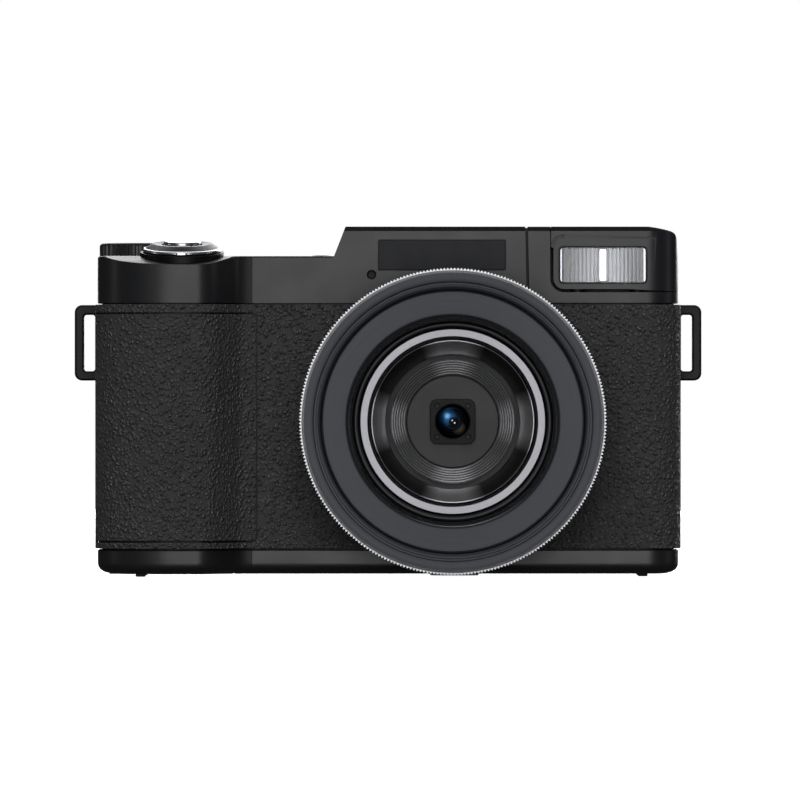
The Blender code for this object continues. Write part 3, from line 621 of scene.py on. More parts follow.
def coated_glass_painted_glare(name):
    """The small front glass: a dark stack of inner rings, with painted blue and amber reflections of its
    coating, two painted glints and a painted dark pupil.
    """
    paint = Paint(name, (0.01, 0.02, 0.05), 0.2, 0.75, Specular_IOR_Level=0.1)
    x, y, _ = paint.split(paint.place(centre=LENS_CENTRE, turn=LENS_AXIS))

    def distance(across, up):
        dx, dy = paint.math("SUBTRACT", x, across * MM), paint.math("SUBTRACT", y, up * MM)
        return paint.length(dx, dy)

    radius = distance(0, 0)
    rings = paint.math("SINE", paint.math("MULTIPLY", radius, tau / (0.62 * MM)))
    light_rings = paint.spread(rings, -0.4, 1.0, 0.0, 1.0)
    colour = paint.blend(light_rings, (0.001, 0.0015, 0.003), (0.006, 0.012, 0.026))
    # Painted reflection: a blue glare from the coating at the upper left, with a paler core over it.
    painted_blue_glare = paint.spread(distance(-1.15, 1.05), 2.1 * MM, 0.15 * MM, 0.0, 1.0)
    colour = paint.blend(paint.math("POWER", painted_blue_glare, 1.5), colour, (0.03, 0.16, 0.42))
    painted_glare_core = paint.spread(distance(-1.2, 1.25), 0.85 * MM, 0.1 * MM, 0.0, 1.0)
    colour = paint.blend(paint.math("POWER", painted_glare_core, 1.4), colour, (0.25, 0.60, 0.92))
    # Painted reflection: an amber crescent at the lower right, held to a band near the rim.
    rim = paint.spread(radius, 1.7 * MM, 2.3 * MM, 0.0, 1.0)
    corner = paint.spread(distance(1.2, -1.3), 1.5 * MM, 0.3 * MM, 0.0, 0.8)
    colour = paint.blend(paint.math("MULTIPLY", corner, rim), colour, (0.36, 0.30, 0.17))
    # Painted shade: the dark pupil in the middle stands for the shade inside the aperture.
    painted_pupil_shade = paint.spread(distance(0.1, -0.05), 1.05 * MM, 0.75 * MM, 0.0, 1.0)
    colour = paint.blend(painted_pupil_shade, colour, (0.001, 0.001, 0.002))
    # Painted highlights: two small glints, one bluish and one warm.
    painted_glints = [(-0.1, 0.25, 0.2, (0.45, 0.75, 0.9)), (0.4, -0.25, 0.22, (0.75, 0.6, 0.35))]
    for across, up, size, tone in painted_glints:
        colour = paint.blend(paint.spread(distance(across, up), size * MM, 0.05 * MM, 0.0, 1.0), colour, tone)
    edge = paint.spread(radius, 3.0 * MM, 3.35 * MM, 0.0, 1.0)
    paint.link(paint.blend(edge, colour, (0.0012, 0.0015, 0.003)), paint.shader.inputs["Base Color"])
    paint.gloss(paint.noise(paint.place(), 1.5), 0.3, 0.4)
    return paint.material


def rubber(name, colour):
    paint = Paint(name, colour, 0.75)
    fine = paint.noise(paint.place(), 0.3, 3.0)
    paint.tint(fine, 0.8, 1.25)
    paint.gloss(fine, 0.66, 0.84)
    paint.bump(fine, 0.03)
    return paint.material


LOOKS = {
    "cover": satin("cover_paint", (0.023, 0.024, 0.027), 0.40, 0.2, 0.006, Specular_IOR_Level=0.57),
    "hump": satin("hump_paint", (0.024, 0.025, 0.030), 0.40, 0.2, 0.006, Specular_IOR_Level=0.57),
    # Painted shade: the darker colour for the hump's upward-facing top bevel.
    "bevel": satin("bevel_painted_shade", (0.012, 0.012, 0.014), 0.34, 0.2, 0.006),
    "shell": satin("shell_plastic", (0.022, 0.022, 0.023), 0.42, 0.3, 0.012, Specular_IOR_Level=0.66),
    "black": satin("black_plastic", (0.008, 0.008, 0.009), 0.42, 0.25, 0.012, Specular_IOR_Level=0.22),
    "deep": satin("deep_black", (0.004, 0.004, 0.004), 0.55, 0.25, 0.01),
    "plate": polished("plate_lacquer", (0.016, 0.017, 0.022), 0.36, Specular_IOR_Level=0.16),
    "leather": leather("leather_grain", (0.055, 0.055, 0.057)),
    "face": lens_metal("lens_face", (0.060, 0.063, 0.074), 0.42, 0.35, 0.12, 0.2),
    "ring": lens_metal("ring_black", (0.032, 0.033, 0.037), 0.34, 0.6, 0.09, 0.25),
    # Painted reflection: the cone's last number weighs four lighter sectors into its colour.
    "cone": lens_metal("cone_anodised_painted_sheen", (0.38, 0.38, 0.39), 0.36, 0.75, 0.06, 1.85, 0.9),
    "silver": lens_metal("silver_ring_metal", (0.30, 0.30, 0.32), 0.38, 1.0, 0.05, 0.2),
    "teeth": lens_metal("teeth_metal", (0.62, 0.63, 0.65), 0.36, 1.0, 0.2, 0.2),
    "chamfer": lens_metal("chamfer_metal", (0.26, 0.26, 0.27), 0.4, 1.0, 0.05, 0.2),
    "bright": turned_metal("button_metal", (0.78, 0.79, 0.82), 0.2, SHUTTER, UPRIGHT_AXIS, 1.0, 0.05, 0.2),
    "zoom": turned_metal("zoom_metal", (0.11, 0.112, 0.12), 0.36, SHUTTER, UPRIGHT_AXIS, 1.0, 0.05, 0.5),
    "steel": brushed("steel_brushed", (0.5, 0.5, 0.52), 0.28, (1, 1, 0.05)),
    "window": clear_plastic("flash_prism", (0.96, 0.97, 1.0), 0.06),
    "lens_glass": coated_glass_painted_glare("coated_glass_painted_glare"),
    "screen_glass": polished("screen_glass_black", (0.010, 0.011, 0.014), 0.08, 0.0, 0.03, Coat_Weight=0.6),
    "rubber": rubber("black_rubber", (0.018, 0.018, 0.018)),
    "dial": satin("dial_plastic", (0.036, 0.036, 0.038), 0.36, 0.25, 0.008),
    "disc": satin("disc_paint", (0.042, 0.042, 0.043), 0.45, 0.15, 0.004, Specular_IOR_Level=0.4),
    "bezel": satin("bezel_paint", (0.004, 0.004, 0.0045), 0.5, 0.15, 0.004, Specular_IOR_Level=0.25),
    "lip": lens_metal("lip_metal", (0.30, 0.31, 0.33), 0.3, 1.0, 0.05, 0.2),
    # Painted reflection: the ridges' last number weighs four lighter sectors into their colour.
    "ridge": lens_metal("ridge_anodised_painted_sheen", (0.34, 0.34, 0.35), 0.34, 0.6, 0.05, 0.9, 0.6),
    "flash_mirror": brushed("flash_mirror_metal", (0.22, 0.222, 0.228), 0.2, (1, 1, 0.05)),
    "white": polished("white_reflector", (0.95, 0.95, 0.96), 0.35, 1.0),
    "screen_view": polished("screen_view_dark", (0.016, 0.017, 0.024), 0.06, 0.0, 0.02, Coat_Weight=0.8),
    "print": satin("key_print", (0.35, 0.35, 0.36), 0.5, 0.2, 0.002),
    "board": circuit("solder_mask", (0.02, 0.12, 0.05)),
    "cell": polished("cell_wrap", (0.2, 0.21, 0.24), 0.4),
}


# The studio


ROOM_LIGHT = 0.03
FLOOR_REACH = 3000
FOCAL_LENGTH = 600
VIEW_FROM = (2.4, FRONT - 2667.0, 35.3)


def make_studio():
    scene = bpy.context.scene
    scene.view_settings.view_transform = "Standard"
    scene.view_settings.look = "None"
    world = bpy.data.worlds.new("studio")
    world.use_nodes = True
    tree = world.node_tree
    seen = tree.nodes.new("ShaderNodeLightPath")
    strength = tree.nodes.new("ShaderNodeMapRange")
    strength.inputs[3].default_value = ROOM_LIGHT
    strength.inputs[4].default_value = 1.0
    tree.links.new(seen.outputs["Is Camera Ray"], strength.inputs[0])
    tree.links.new(strength.outputs[0], tree.nodes["Background"].inputs["Strength"])
    tree.nodes["Background"].inputs["Color"].default_value = (1.0, 1.0, 1.0, 1.0)
    scene.world = world

    reach = (-FLOOR_REACH, FLOOR_REACH)
    corners = [(x, y, 0) for x, y in rectangle(reach, reach)]
    floor = mesh_object("floor", corners, [(0, 1, 2, 3)])
    glow = {"Emission_Color": (1.0, 1.0, 1.0, 1.0), "Emission_Strength": 1.0}
    paint = Paint("pale_floor", (0.93, 0.93, 0.93), 0.7, **glow)
    paint.tint(paint.noise(paint.place(), 60.0), 0.99, 1.01)
    floor.data.materials.append(paint.material)
    floor.visible_glossy = False
    floor.visible_diffuse = False


def make_camera():
    data = bpy.data.cameras.new("camera")
    data.lens = FOCAL_LENGTH
    data.sensor_width = 36
    camera = bpy.data.objects.new("camera", data)
    camera.location = Vector(VIEW_FROM) * MM
    camera.rotation_euler = (radians(90), 0, 0)
    bpy.context.scene.collection.objects.link(camera)
    bpy.context.scene.camera = camera


def make_light(name, place, aim, size, power):
    data = bpy.data.lights.new(name, "AREA")
    data.shape = "RECTANGLE"
    data.size, data.size_y = size[0] * MM, size[1] * MM
    data.energy = power
    light = bpy.data.objects.new(name, data)
    light.location = Vector(place) * MM
    light.visible_camera = False
    light.rotation_euler = (Vector(aim) - Vector(place)).to_track_quat("-Z", "Y").to_euler()
    bpy.context.scene.collection.objects.link(light)


# Covers and casing


HUMP_BACK = 17.0
FLASH_LEFT = 32.5
FLASH_FLOOR = 56.9
FLASH_BACK = 9.0
HUMP_LEVELS = [(0, HUMP_TOP - 0.9), (-0.12, HUMP_TOP - 0.75), (-0.75, HUMP_TOP - 0.12), (-0.9, HUMP_TOP)]
GUIDES = (38.0, 50.0)
WINDOW_ACROSS, WINDOW_UP = (34.3, 51.7), (58.75, 65.85)
WINDOW_RIB = 0.4
MIRROR_MIDDLE, MIRROR_HALF, MIRROR_RIB = 43.0, 8.1, 0.8
MIRROR_UP, MIRROR_END_UP = (58.85, 65.75), (58.9, 65.7)


def hump_section():
    side = HALF_WIDTH + 5
    bottom = COVER_LOW - 4
    shoulder = smooth_through([(52.2, HUMP_TOP), (54.8, 69.55), (57.0, 68.9), (57.75, 67.9), (57.9, 66.0)], 5)
    right = [(side, bottom), (side, 56.0), (58.5, 56.5)]
    return [*right, *shoulder[::-1], (-8.5, HUMP_TOP), (-10.8, COVER_TOP), (-10.8, bottom)]


def seam_side(edge, side):
    far = edge + side * 80
    return slab("seam", [(edge + 0.3, 50), (far, 50), (far, 80), (edge - 0.3, 80)][::side], -40, 40, "front")


def paint_shade_on_bevel(thing):
    """The hump's narrow top bevel gets a darker material: painted shade on the band that faces upwards."""
    thing.data.materials.append(LOOKS["bevel"])
    for face in thing.data.polygons:
        if face.center.z > (HUMP_TOP - 0.86) * MM and 0.25 < face.normal.z < 0.97:
            face.material_index = 1


def cover_hole(radius, low, high, centre, turn=UPRIGHT, sides=96):
    return rod("hole", radius, low, high, centre, turn, sides)


def make_top_cover():
    cover = casing("top_cover_shell", soft_levels(COVER_LOW, COVER_TOP, 0.45))
    hump = casing("hump", [(0, COVER_TOP - 2.0), *HUMP_LEVELS])
    keep(hump, slab("section", hump_section(), FRONT - 1, HUMP_BACK, "front"))
    join(cover, hump)
    slope = mesh_box((-70, GRIP_SEAM_X), (-80, 0), (0, 12))
    start = Vector((0, -14.0 + (COVER_TOP - 62.3) / tan(GRIP_SLOPE), COVER_TOP)) * MM
    slope.matrix_world = Matrix.Translation(start) @ Matrix.Rotation(GRIP_SLOPE, 4, "X")
    wedge = [(-10.62, 64.2), (-10.98, 64.2), (-11.08, 61.9)]
    cut(cover, slope, cover_hole(8.7, -4.3, 4, SHUTTER, TILTED), cover_hole(2.3, -14, 0, SHUTTER, TILTED),
        cover_hole(8.3, -0.3, 9, DIAL_BASE), cover_hole(2.3, -9, 0, DIAL_BASE),
        cover_hole(2.5, -9, 3, (POWER.x, POWER.y, COVER_TOP)), seam_side(SEAM_X - 0.25, 1),
        front_cut("crease", wedge, 0.25),
        front_cut("plate_pocket", rounded((-2.05, 23.65), (61.15, 67.45), 0.3), 0.8),
        cover_hole(0.85, -3, 2, MICROPHONE, FORWARD, 32))
    break_edges(cover, 0.12)
    settle(cover, "casing", "cover", "top_shell", "top_cover")
    paint_shade_on_bevel(cover)
    rim = soften([(0.85, 0.12), (1.0, 0.0), (0.85, -1.2), (0.7, -1.2), (0.7, 0.0)], 0.08)
    ring = turned("microphone_rim", rim, MICROPHONE, FORWARD, 48)
    settle(ring, "casing", "black", "black")
    mesh = rod("microphone_mesh", 0.72, -1.4, -1.0, MICROPHONE, FORWARD, 32)
    settle(mesh, "casing", "deep", "black")


def make_gaskets():
    """Dark strips that close the joints between the covers."""
    for name, low, high in (("upper_gasket", BAND_HIGH, COVER_LOW), ("lower_gasket", PLATE_TOP, BAND_LOW)):
        floor, roof = low + 0.02, high - 0.02
        walls = [(-0.9, floor), (-0.9, roof), (-1.7, roof), (-1.7, floor), (-0.9, floor)]
        settle(casing(name, walls, caps=False), "casing", "deep", "black")
    for name, start, end, top in (("seam_gasket", FRONT + 1.0, HUMP_BACK - 1.5, HUMP_TOP - 0.25),
                                  ("seam_gasket_rear", HUMP_BACK - 1.4, BACK - 1.0, COVER_TOP - 0.9)):
        low = COVER_LOW + 0.1
        leaning = [(seam_at(low), low), (seam_at(top), top)]
        outline = [(leaning[0][0] - 0.22, low), (leaning[0][0] + 0.22, low)]
        outline += [(leaning[1][0] + 0.22, top), (leaning[1][0] - 0.22, top)]
        settle(slab(name, outline, start, end, "front"), "casing", "deep", "black")


def seam_at(height):
    """Where the leaning seam is at a height."""
    return SEAM_X + 0.3 - 0.02 * (height - 50)


def make_surround():
    surround = casing("flash_surround_shell", [(0, COVER_LOW), *HUMP_LEVELS])
    section = slab("section", hump_section(), -40, HUMP_BACK, "front")
    join(section, mesh_box((0, 80), (HUMP_BACK - 1, 40), (50, COVER_TOP)))
    well = arc((FLASH_LEFT + 2.7, FLASH_FLOOR + 2.7), 2.7, 180, 270, 8)
    well += [(80, FLASH_FLOOR), (80, 80), (FLASH_LEFT, 80)]
    keep(surround, section)
    cut(surround, seam_side(SEAM_X + 0.25, -1), slab("well", well, -40, FLASH_BACK, "front"),
        mesh_box((29.4, 37.6), (HUMP_BACK - 4, HUMP_BACK + 2), (66.2, 68.4)),
        *[cover_hole(1.8, -9, 2, (across, 2.0, FLASH_FLOOR), sides=48) for across in GUIDES])
    break_edges(surround, 0.12)
    settle(surround, "casing", "hump", "top_shell", "flash_surround")
    paint_shade_on_bevel(surround)


def make_flash_head():
    """The head that rises, cut from the casing's form, with its two guide posts."""
    head = casing("flash_head_shell", [(0, FLASH_FLOOR + 0.1), *HUMP_LEVELS])
    keep(head, slab("section", hump_section(), -40, FLASH_BACK - 0.3, "front"))
    left, floor, corner = 33.1, 57.5, 2.1
    outline = arc((left + corner, floor + corner), corner, 180, 270, 8)
    outline += [(48, floor), (56.5, 57.05), (80, 57.05)]
    outline += [(80, 80), (FLASH_LEFT + 0.12, 80), (FLASH_LEFT + 0.12, 66.0), (left, 65.6)]
    keep(head, slab("outline", outline, -40, 40, "front"))
    centre = (left + corner, 65.6)
    groove = arc(centre, corner - 0.05, 185, 88, 8) + arc(centre, corner + 0.75, 88, 185, 8)
    line = [(35.2, 67.65), (52.0, 67.6), (54.5, 67.5), (52.0, 67.95), (38.0, 68.2), (35.2, 68.4)]
    cut(head, front_cut("groove", groove[::-1], 1.6), front_cut("line", line, 0.3),
        front_cut("window_pocket", rounded((34.1, 51.9), (58.5, 66.1), 0.9), 6))
    break_edges(head, 0.16)
    posts = [rod("post", 1.5, -12.5, 1.5, (across, 2.0, FLASH_FLOOR), soft=0.3) for across in GUIDES]
    merge(head, *posts)
    settle(head, "flash", "hump", "top_shell", "flash_head")
    paint_shade_on_bevel(head)


def make_flash_window():
    """The clear window, with fine upright ribs over its front."""
    left, right = WINDOW_ACROSS
    start = left + 0.8
    count = int((right - left - 1.6) / WINDOW_RIB)
    front = [(left, FRONT + 0.35), (start, FRONT + 0.15)]
    for step in range(count * 4):
        front.append((start + WINDOW_RIB * step / 4, FRONT + 0.15 + 0.02 * cos(tau * step / 4)))
    front += [(right - 0.5, FRONT + 0.15), (right, FRONT + 0.35), (right, FRONT + 0.9), (left, FRONT + 0.9)]
    window = slab("flash_lens", front[::-1], *WINDOW_UP)
    settle(window, "flash", "window", "clear", "flash_window")


def make_flash_inside():
    """The ribbed, curved mirror, its white ends and post, and the lamp."""
    count = int(MIRROR_HALF * 2 / MIRROR_RIB) * 6
    back = []
    for step in range(count + 1):
        away = MIRROR_HALF * (2 * step / count - 1)
        ripple_depth = 0.04 * cos(tau * away / MIRROR_RIB)
        back.append((MIRROR_MIDDLE + away, FRONT + 3.15 - 0.033 * away**2 + ripple_depth))
    back += [(MIRROR_MIDDLE + MIRROR_HALF, FRONT + 3.3), (MIRROR_MIDDLE - MIRROR_HALF, FRONT + 3.3)]
    trough = slab("flash_mirror", back, *MIRROR_UP)
    settle(trough, "flash", "flash_mirror", "silver", "flash_reflector")
    for number, across in enumerate(((34.35, 34.95), (50.95, 51.65))):
        end = box(f"flash_mirror_end_{number}", across, (FRONT + 1.1, FRONT + 5.0), MIRROR_END_UP, 0.1)
        settle(end, "flash", "white", "silver")
    post = box("flash_mirror_post", (42.1, 43.9), (FRONT + 1.0, FRONT + 2.2), MIRROR_END_UP, 0.3)
    settle(post, "flash", "white", "silver")
    tube = rod("flash_lamp", 0.8, -7.4, 7.4, (MIRROR_MIDDLE, FRONT + 4.0, 62.3), ALONG_X, 48, 0.3)
    settle(tube, "flash", "window", "clear", "flash_tube")


def make_flash_trim():
    """The window's black rim, and the slider that lets the head rise."""
    outside = rounded((34.15, 51.85), (58.55, 66.05), 0.8)
    rim = slab("flash_window_rim", outside, FRONT + 0.3, FRONT + 0.9, "front")
    cut(rim, front_cut("hole", rounded((34.5, 51.5), (58.9, 65.7), 0.6), 2))
    settle(rim, "flash", "deep", "black")
    release = box("flash_release_slider", (29.7, 35.7), (HUMP_BACK - 3, HUMP_BACK + 0.8), (66.5, 68.1), 0.25)
    ridges = [box("ridge", (x, x + 0.35), (HUMP_BACK + 0.6, HUMP_BACK + 1.05), (66.8, 67.8), 0.1)
              for x in (31.2, 32.0, 32.8, 33.6, 34.4)]
    merge(release, *ridges)
    settle(release, "release", "black", "black", "flash_release")


def make_trim():
    plate = box("name_plate_blank", (-1.9, 23.5), (FRONT - 0.06, FRONT + 0.5), (61.3, 67.3), 0.12)
    settle(plate, "casing", "plate", "plate", "name_plate")


def make_band():
    """The leather band, open at the grip, and the grip's own panel in that opening."""
    def skin(name, low, high, part):
        """A skin over the casing's front, whose edges turn in."""
        inner = band_path(LEATHER_INSIDE)[part][::-1]
        levels = [(EDGE_TURN, low), (0, low + EDGE_TURN), (0, high - EDGE_TURN), (EDGE_TURN, high)]
        rings = []
        for turn, height in levels:
            run = band_path(LEATHER_OUTSIDE - turn)[part] + inner
            rings.append([(x, y, height) for x, y in run])
        return loft(name, rings)

    path = band_path(0.0)
    seam = next(number for number, point in enumerate(path) if point[0] > GRIP_SEAM_X and point[1] < 0)
    band = skin("leather_band", BAND_LOW, BAND_HIGH, slice(None))
    window = mesh_box((-80, GRIP_SEAM_X - 1.0), (-40, 1.7), GRIP_OPENING_UP)
    join(window, slab("corner", rounded((-40, GRIP_SEAM_X), GRIP_OPENING_UP, 1.0), -40, 1.7, "front"))
    mouth = rod("mouth", 20.0, -4, 4, LENS_CENTRE, FORWARD, 128)
    cut(band, window, mouth)
    settle(band, "casing", "leather", "leather", "front_leather")

    panel = skin("grip_panel", *GRIP_PANEL_UP, slice(0, seam + 6))
    keeper = mesh_box((-80, GRIP_SEAM_X - 1.4), (-40, 1.4), GRIP_PANEL_UP)
    join(keeper, slab("corner", rounded((-40, GRIP_SEAM_X - 0.35), GRIP_PANEL_UP, 0.9), -40, 1.4, "front"))
    keep(panel, keeper)
    settle(panel, "casing", "leather", "leather", "grip_leather")


def make_bottom():
    crown = [(-3.3, 0.5), (-2.3, 0.62), (-1.3, 0.9), (-0.5, 1.4), (-0.12, 2.0), (0, 2.8)]
    plate = casing("bottom_shell", [*crown, (0, PLATE_TOP - 0.15), (-0.15, PLATE_TOP)])
    room = casing("room", [(-1.6, 2.1), (-1.6, PLATE_TOP + 1)])
    low, high = span("battery_door")
    door_y = (low.y, low.y + 16.1)
    opening = rounded((low.x - 0.25, high.x + 0.25), (door_y[0] - 0.25, door_y[1] + 0.25), 1.3)
    doorway = slab("doorway", opening, -1, 10)
    cut(plate, room, doorway, mesh_box((low.x - 0.3, high.x + 0.3), (door_y[1] - 1, 15.2), (-1, 10)),
        rod("screw", 5.2, -1, 9, middle("tripod_socket"), UPRIGHT, 96))
    for number in range(1, 5):
        start, end = span(f"foot_{number}")
        cut(plate, mesh_box((start.x - 0.15, end.x + 0.15), (start.y - 0.15, end.y + 0.15), (-1, 1.1)))
    bosses = [mesh_box(across, (11.7, 14.3), (1.5, 3.5)) for across in ((-57.4, -56.2), (-30.6, -29.4))]
    join(plate, *bosses)
    break_edges(plate, 0.1)
    settle(plate, "casing", "shell", "shell", "bottom_plate")
    for number in range(1, 5):
        start, end = span(f"foot_{number}")
        foot = box(f"foot_pad_{number}", (start.x, end.x), (start.y, end.y), (0, end.z), 0.2)
        settle(foot, "casing", "rubber", "rubber", f"foot_{number}")


def make_lugs():
    for node, side in (("strap_lug_left", -1), ("strap_lug_right", 1)):
        low, high = span(node)
        inner, outer = HALF_WIDTH - 3, HALF_WIDTH + 4.8
        outline = rounded((inner, outer), (low.z, high.z), 1.5, 8)
        slot = rounded((HALF_WIDTH + 0.7, outer - 1.9), (low.z + 1.9, high.z - 2.0), 0.5, 5)
        lug = slab(f"{node}_loop", outline, low.y, high.y, "front")
        cut(lug, slab("slot", slot, 0, 20, "front"))
        break_edges(lug, 0.45, 3)
        if side < 0:
            lug.data.transform(Matrix.Scale(-1, 4, Vector((1, 0, 0))))
            lug.data.flip_normals()
        settle(lug, "casing", "black", "black", node)


# Controls on the top


def make_top_controls():
    seat = soften([(8.4, 0.25), (8.4, -4), (4.4, -4), (4.4, 0.1), (7.0, 0.1), (7.9, 0.25)], 0.15)
    settle(turned("shutter_skirt", seat, SHUTTER, TILTED), "casing", "black", "black", "shutter_seat")

    slope = [(5.95, 1.95), (7.45, 1.0), (7.8, 0.85), (7.8, 0.3), (4.1, 0.3), (4.1, 1.75), (5.3, 1.95)]
    ring = soften(slope, 0.12)
    settle(turned("zoom_collar", ring, SHUTTER, TILTED, 256), "zoom", "zoom", "steel", "zoom_ring")
    edge = soften([(7.36, 1.08), (7.72, 0.93), (7.84, 0.75), (7.84, 0.45), (7.4, 0.45)], 0.1)
    settle(turned("zoom_collar_edge", edge, SHUTTER, TILTED, 256), "zoom", "bright", "steel")
    tab = slab("zoom_tab", rounded((-1.1, 1.1), (-8.6, -7.4), 0.4), 0.35, 0.95, soft=0.12)
    tab.data.transform(Matrix.Translation(SHUTTER * MM) @ TILTED)
    settle(tab, "zoom", "bright", "steel")

    dish = [(0, 2.28), (1.2, 2.3), (2.4, 2.42), (3.1, 2.5), (3.5, 2.42), (3.7, 2.15), (3.7, -0.5)]
    dish += [(2.0, -0.5), (2.0, -9), (0, -9)]
    button = turned("shutter_release", soften(dish, 0.12, closed=False), SHUTTER, TILTED, 192, closed=False)
    settle(button, "shutter", "bright", "silver", "shutter_button")

    wall = [(0, 4.35), (5.4, 4.35), (5.6, 4.6), (6.9, 4.6), (7.3, 4.75), (7.7, 4.6)]
    wall += [(8.0, 4.2), (8.0, 0.9), (7.75, 0.5), (7.75, 0), (2.0, 0), (2.0, -6), (0, -6)]

    def ribs(angle, radius, height):
        if radius < 7.9 or height < 0.8:
            return 0.0
        return 0.16 * max(-1.0, min(1.0, 2.6 * sin(angle * DIAL_RIBS))) - 0.16

    profile = soften(wall, 0.18, closed=False)
    dial = turned("mode_wheel", profile, DIAL_BASE, UPRIGHT, DIAL_RIBS * 12, closed=False, ripple=ribs)
    settle(dial, "dial", "dial", "black", "mode_dial")
    mark = slab("mode_wheel_mark", rounded((-0.3, 0.3), (-6.4, -5.9), 0.15), 4.56, 4.68)
    mark.data.transform(Matrix.Translation(DIAL_BASE * MM))
    settle(mark, "dial", "bright", "black")

    crown = [(0, 0.22), (0.8, 0.26), (1.6, 0.26), (2.0, 0.12), (2.2, -0.2), (2.2, -3.5), (0, -3.5)]
    place = (POWER.x, POWER.y, COVER_TOP)
    power = turned("power_cap", soften(crown, 0.12, closed=False), place, UPRIGHT, 128, closed=False)
    settle(power, "power", "plate", "plate", "power_button")


# Lens


TEETH = 280
KNURL_INSIDE = 30.2


def lens_piece(name, profile, look, body, slot, *nodes, sides=256, soft=0.08, closed=True, ripple=None):
    smooth = soften(profile, soft, 2, closed) if soft else profile
    made = turned(name, smooth, LENS_CENTRE, FORWARD, sides, closed, ripple)
    return settle(made, body, look, slot, *nodes, sharp=25)


def knurl(angle, radius, height):
    """Small teeth round the front ring, each a shallow ridge."""
    if radius < KNURL_INSIDE:
        return 0.0
    phase = angle * TEETH / tau % 1.0
    return 0.42 * (1 - abs(2 * phase - 1)) - 0.16


def make_lens():
    tube = [(28.2, 12.0), (28.2, 0.8), (9.2, 0.8), (9.2, 2.3)]
    tube += [(24.5, 2.3), (24.5, 7.0), (26.0, 7.0), (26.0, 12.0)]
    lens_piece("lens_mount_tube", tube, "ring", "casing", "black", "lens_tube")
    adapter = [(29.7, 21.3), (30.1, 20.9), (30.34, 20.5), (30.34, 17.4), (30.1, 17.2), (30.1, 16.6)]
    adapter += [(30.34, 16.4), (30.34, 13.6), (28.6, 12.5), (25.7, 12.5), (25.7, 8.5), (23.6, 8.5)]
    adapter += [(23.6, 17.0), (26.35, 17.0), (26.35, 20.3), (27.15, 20.5), (27.2, 19.9), (27.7, 19.9)]
    adapter += [(27.78, 21.3)]
    lens_piece("front_ring", adapter, "face", "adapter", "black", "adapter_ring",
               sides=TEETH * 4, soft=0.05, ripple=knurl)
    teeth = [(29.98, 21.0), (30.3, 20.96), (30.3, 20.4), (29.98, 20.4)]
    lens_piece("front_ring_teeth", teeth, "teeth", "adapter", "black", sides=TEETH * 4, soft=0, ripple=knurl)
    chamfer = [(29.6, 21.38), (30.06, 21.3), (30.06, 21.0), (29.6, 21.2)]
    lens_piece("front_ring_chamfer", chamfer, "chamfer", "adapter", "black", sides=384, soft=0)
    face = [(26.1, 19.5), (26.1, 17.3), (20.9, 17.3), (20.9, 19.25), (21.2, 19.55), (21.5, 19.6)]
    face += [(25.7, 19.6)]
    lens_piece("front_ring_face", face, "face", "adapter", "plate", "adapter_face")
    lip = [(20.95, 19.28), (20.5, 18.9), (20.5, 18.0), (20.95, 18.0)]
    lens_piece("front_ring_lip", lip, "lip", "adapter", "plate", soft=0.04)
    barrel = [(20.0, 13.8), (20.0, 2.6), (16.55, 2.6), (16.55, 13.9), (16.6, 14.05), (16.7, 14.05)]
    barrel += [(16.74, 13.6), (16.75, 12.5), (18.6, 12.5), (18.65, 13.6), (18.8, 14.0), (19.4, 14.1)]
    barrel += [(19.85, 14.0)]
    lens_piece("barrel_sleeve", barrel, "ring", "casing", "black", "inner_barrel")
    silver = [(18.5, 14.3), (18.5, 12.8), (16.85, 12.8), (16.85, 14.3), (16.97, 14.4), (18.38, 14.4)]
    lens_piece("barrel_silver_ring", silver, "silver", "casing", "silver", "silver_ring")
    cone = [(16.15, 13.7), (16.3, 13.5), (16.3, 6.6), (13.4, 6.6), (13.4, 9.5), (13.5, 9.75), (15.95, 13.65)]
    lens_piece("barrel_cone", cone, "cone", "casing", "anodised", "cone_ring")
    steps = [(12.4, 9.0), (12.4, 6.6), (9.35, 6.6), (9.35, 7.85)]
    count, pitch = 6, 0.48
    for step in range(count):
        radius = 9.45 + step * pitch
        height = 7.95 + step * 0.17
        crest = [(0.04, 0.12), (0.17, 0.18), (0.3, 0.12), (0.36, -0.12), (0.46, -0.05)]
        steps += [(radius + across, height + up) for across, up in crest]
    lens_piece("barrel_ridges", steps, "ridge", "casing", "anodised", "ridge_ring", soft=0)
    plate = [(9.05, 7.6), (9.15, 7.45), (9.15, 6.3), (16.0, 6.3), (16.0, 4.6), (4.0, 4.6), (4.0, 7.6)]
    lens_piece("barrel_plate", plate, "disc", "casing", "plate", "lens_plate", soft=0.04)

    across, up = (LENS.x - 4.5, LENS.x + 4.5), (LENS.z - 4.5, LENS.z + 4.5)
    bezel = slab("glass_bezel", rounded(across, up, 1.5, 8), FRONT - 8.9, FRONT - 7.9, "front", 0.14)
    cut(bezel, rod("hole", 3.62, 5, 11, LENS_CENTRE, FORWARD, 96))
    spots = [(x, FRONT, z) for x, z in arc((LENS.x, LENS.z), 4.35, 45, 315, 3)]
    cut(bezel, *[rod("notch", 0.62, 8.5, 10, spot, FORWARD, 32) for spot in spots])
    break_edges(bezel, 0.08)
    settle(bezel, "casing", "bezel", "black", "lens_bezel")
    for number, spot in enumerate(spots):
        screw = rod(f"bezel_screw_{number}", 0.45, 8.3, 8.62, spot, FORWARD, 32, 0.06)
        settle(screw, "casing", "black", "black")
    dome = [(0, 8.95), (0.9, 8.92), (1.8, 8.78), (2.6, 8.55), (3.15, 8.28), (3.45, 8.0)]
    dome += [(3.5, 7.7), (3.5, 7.2), (0, 7.2)]
    lens_piece("glass_dome", dome, "lens_glass", "casing", "glass", "front_element", closed=False, soft=0.2)
    retainer = [(3.58, 8.55), (3.58, 7.9), (3.3, 7.9), (3.3, 8.25), (3.45, 8.5)]
    lens_piece("glass_retainer", retainer, "deep", "casing", "black", soft=0.04)


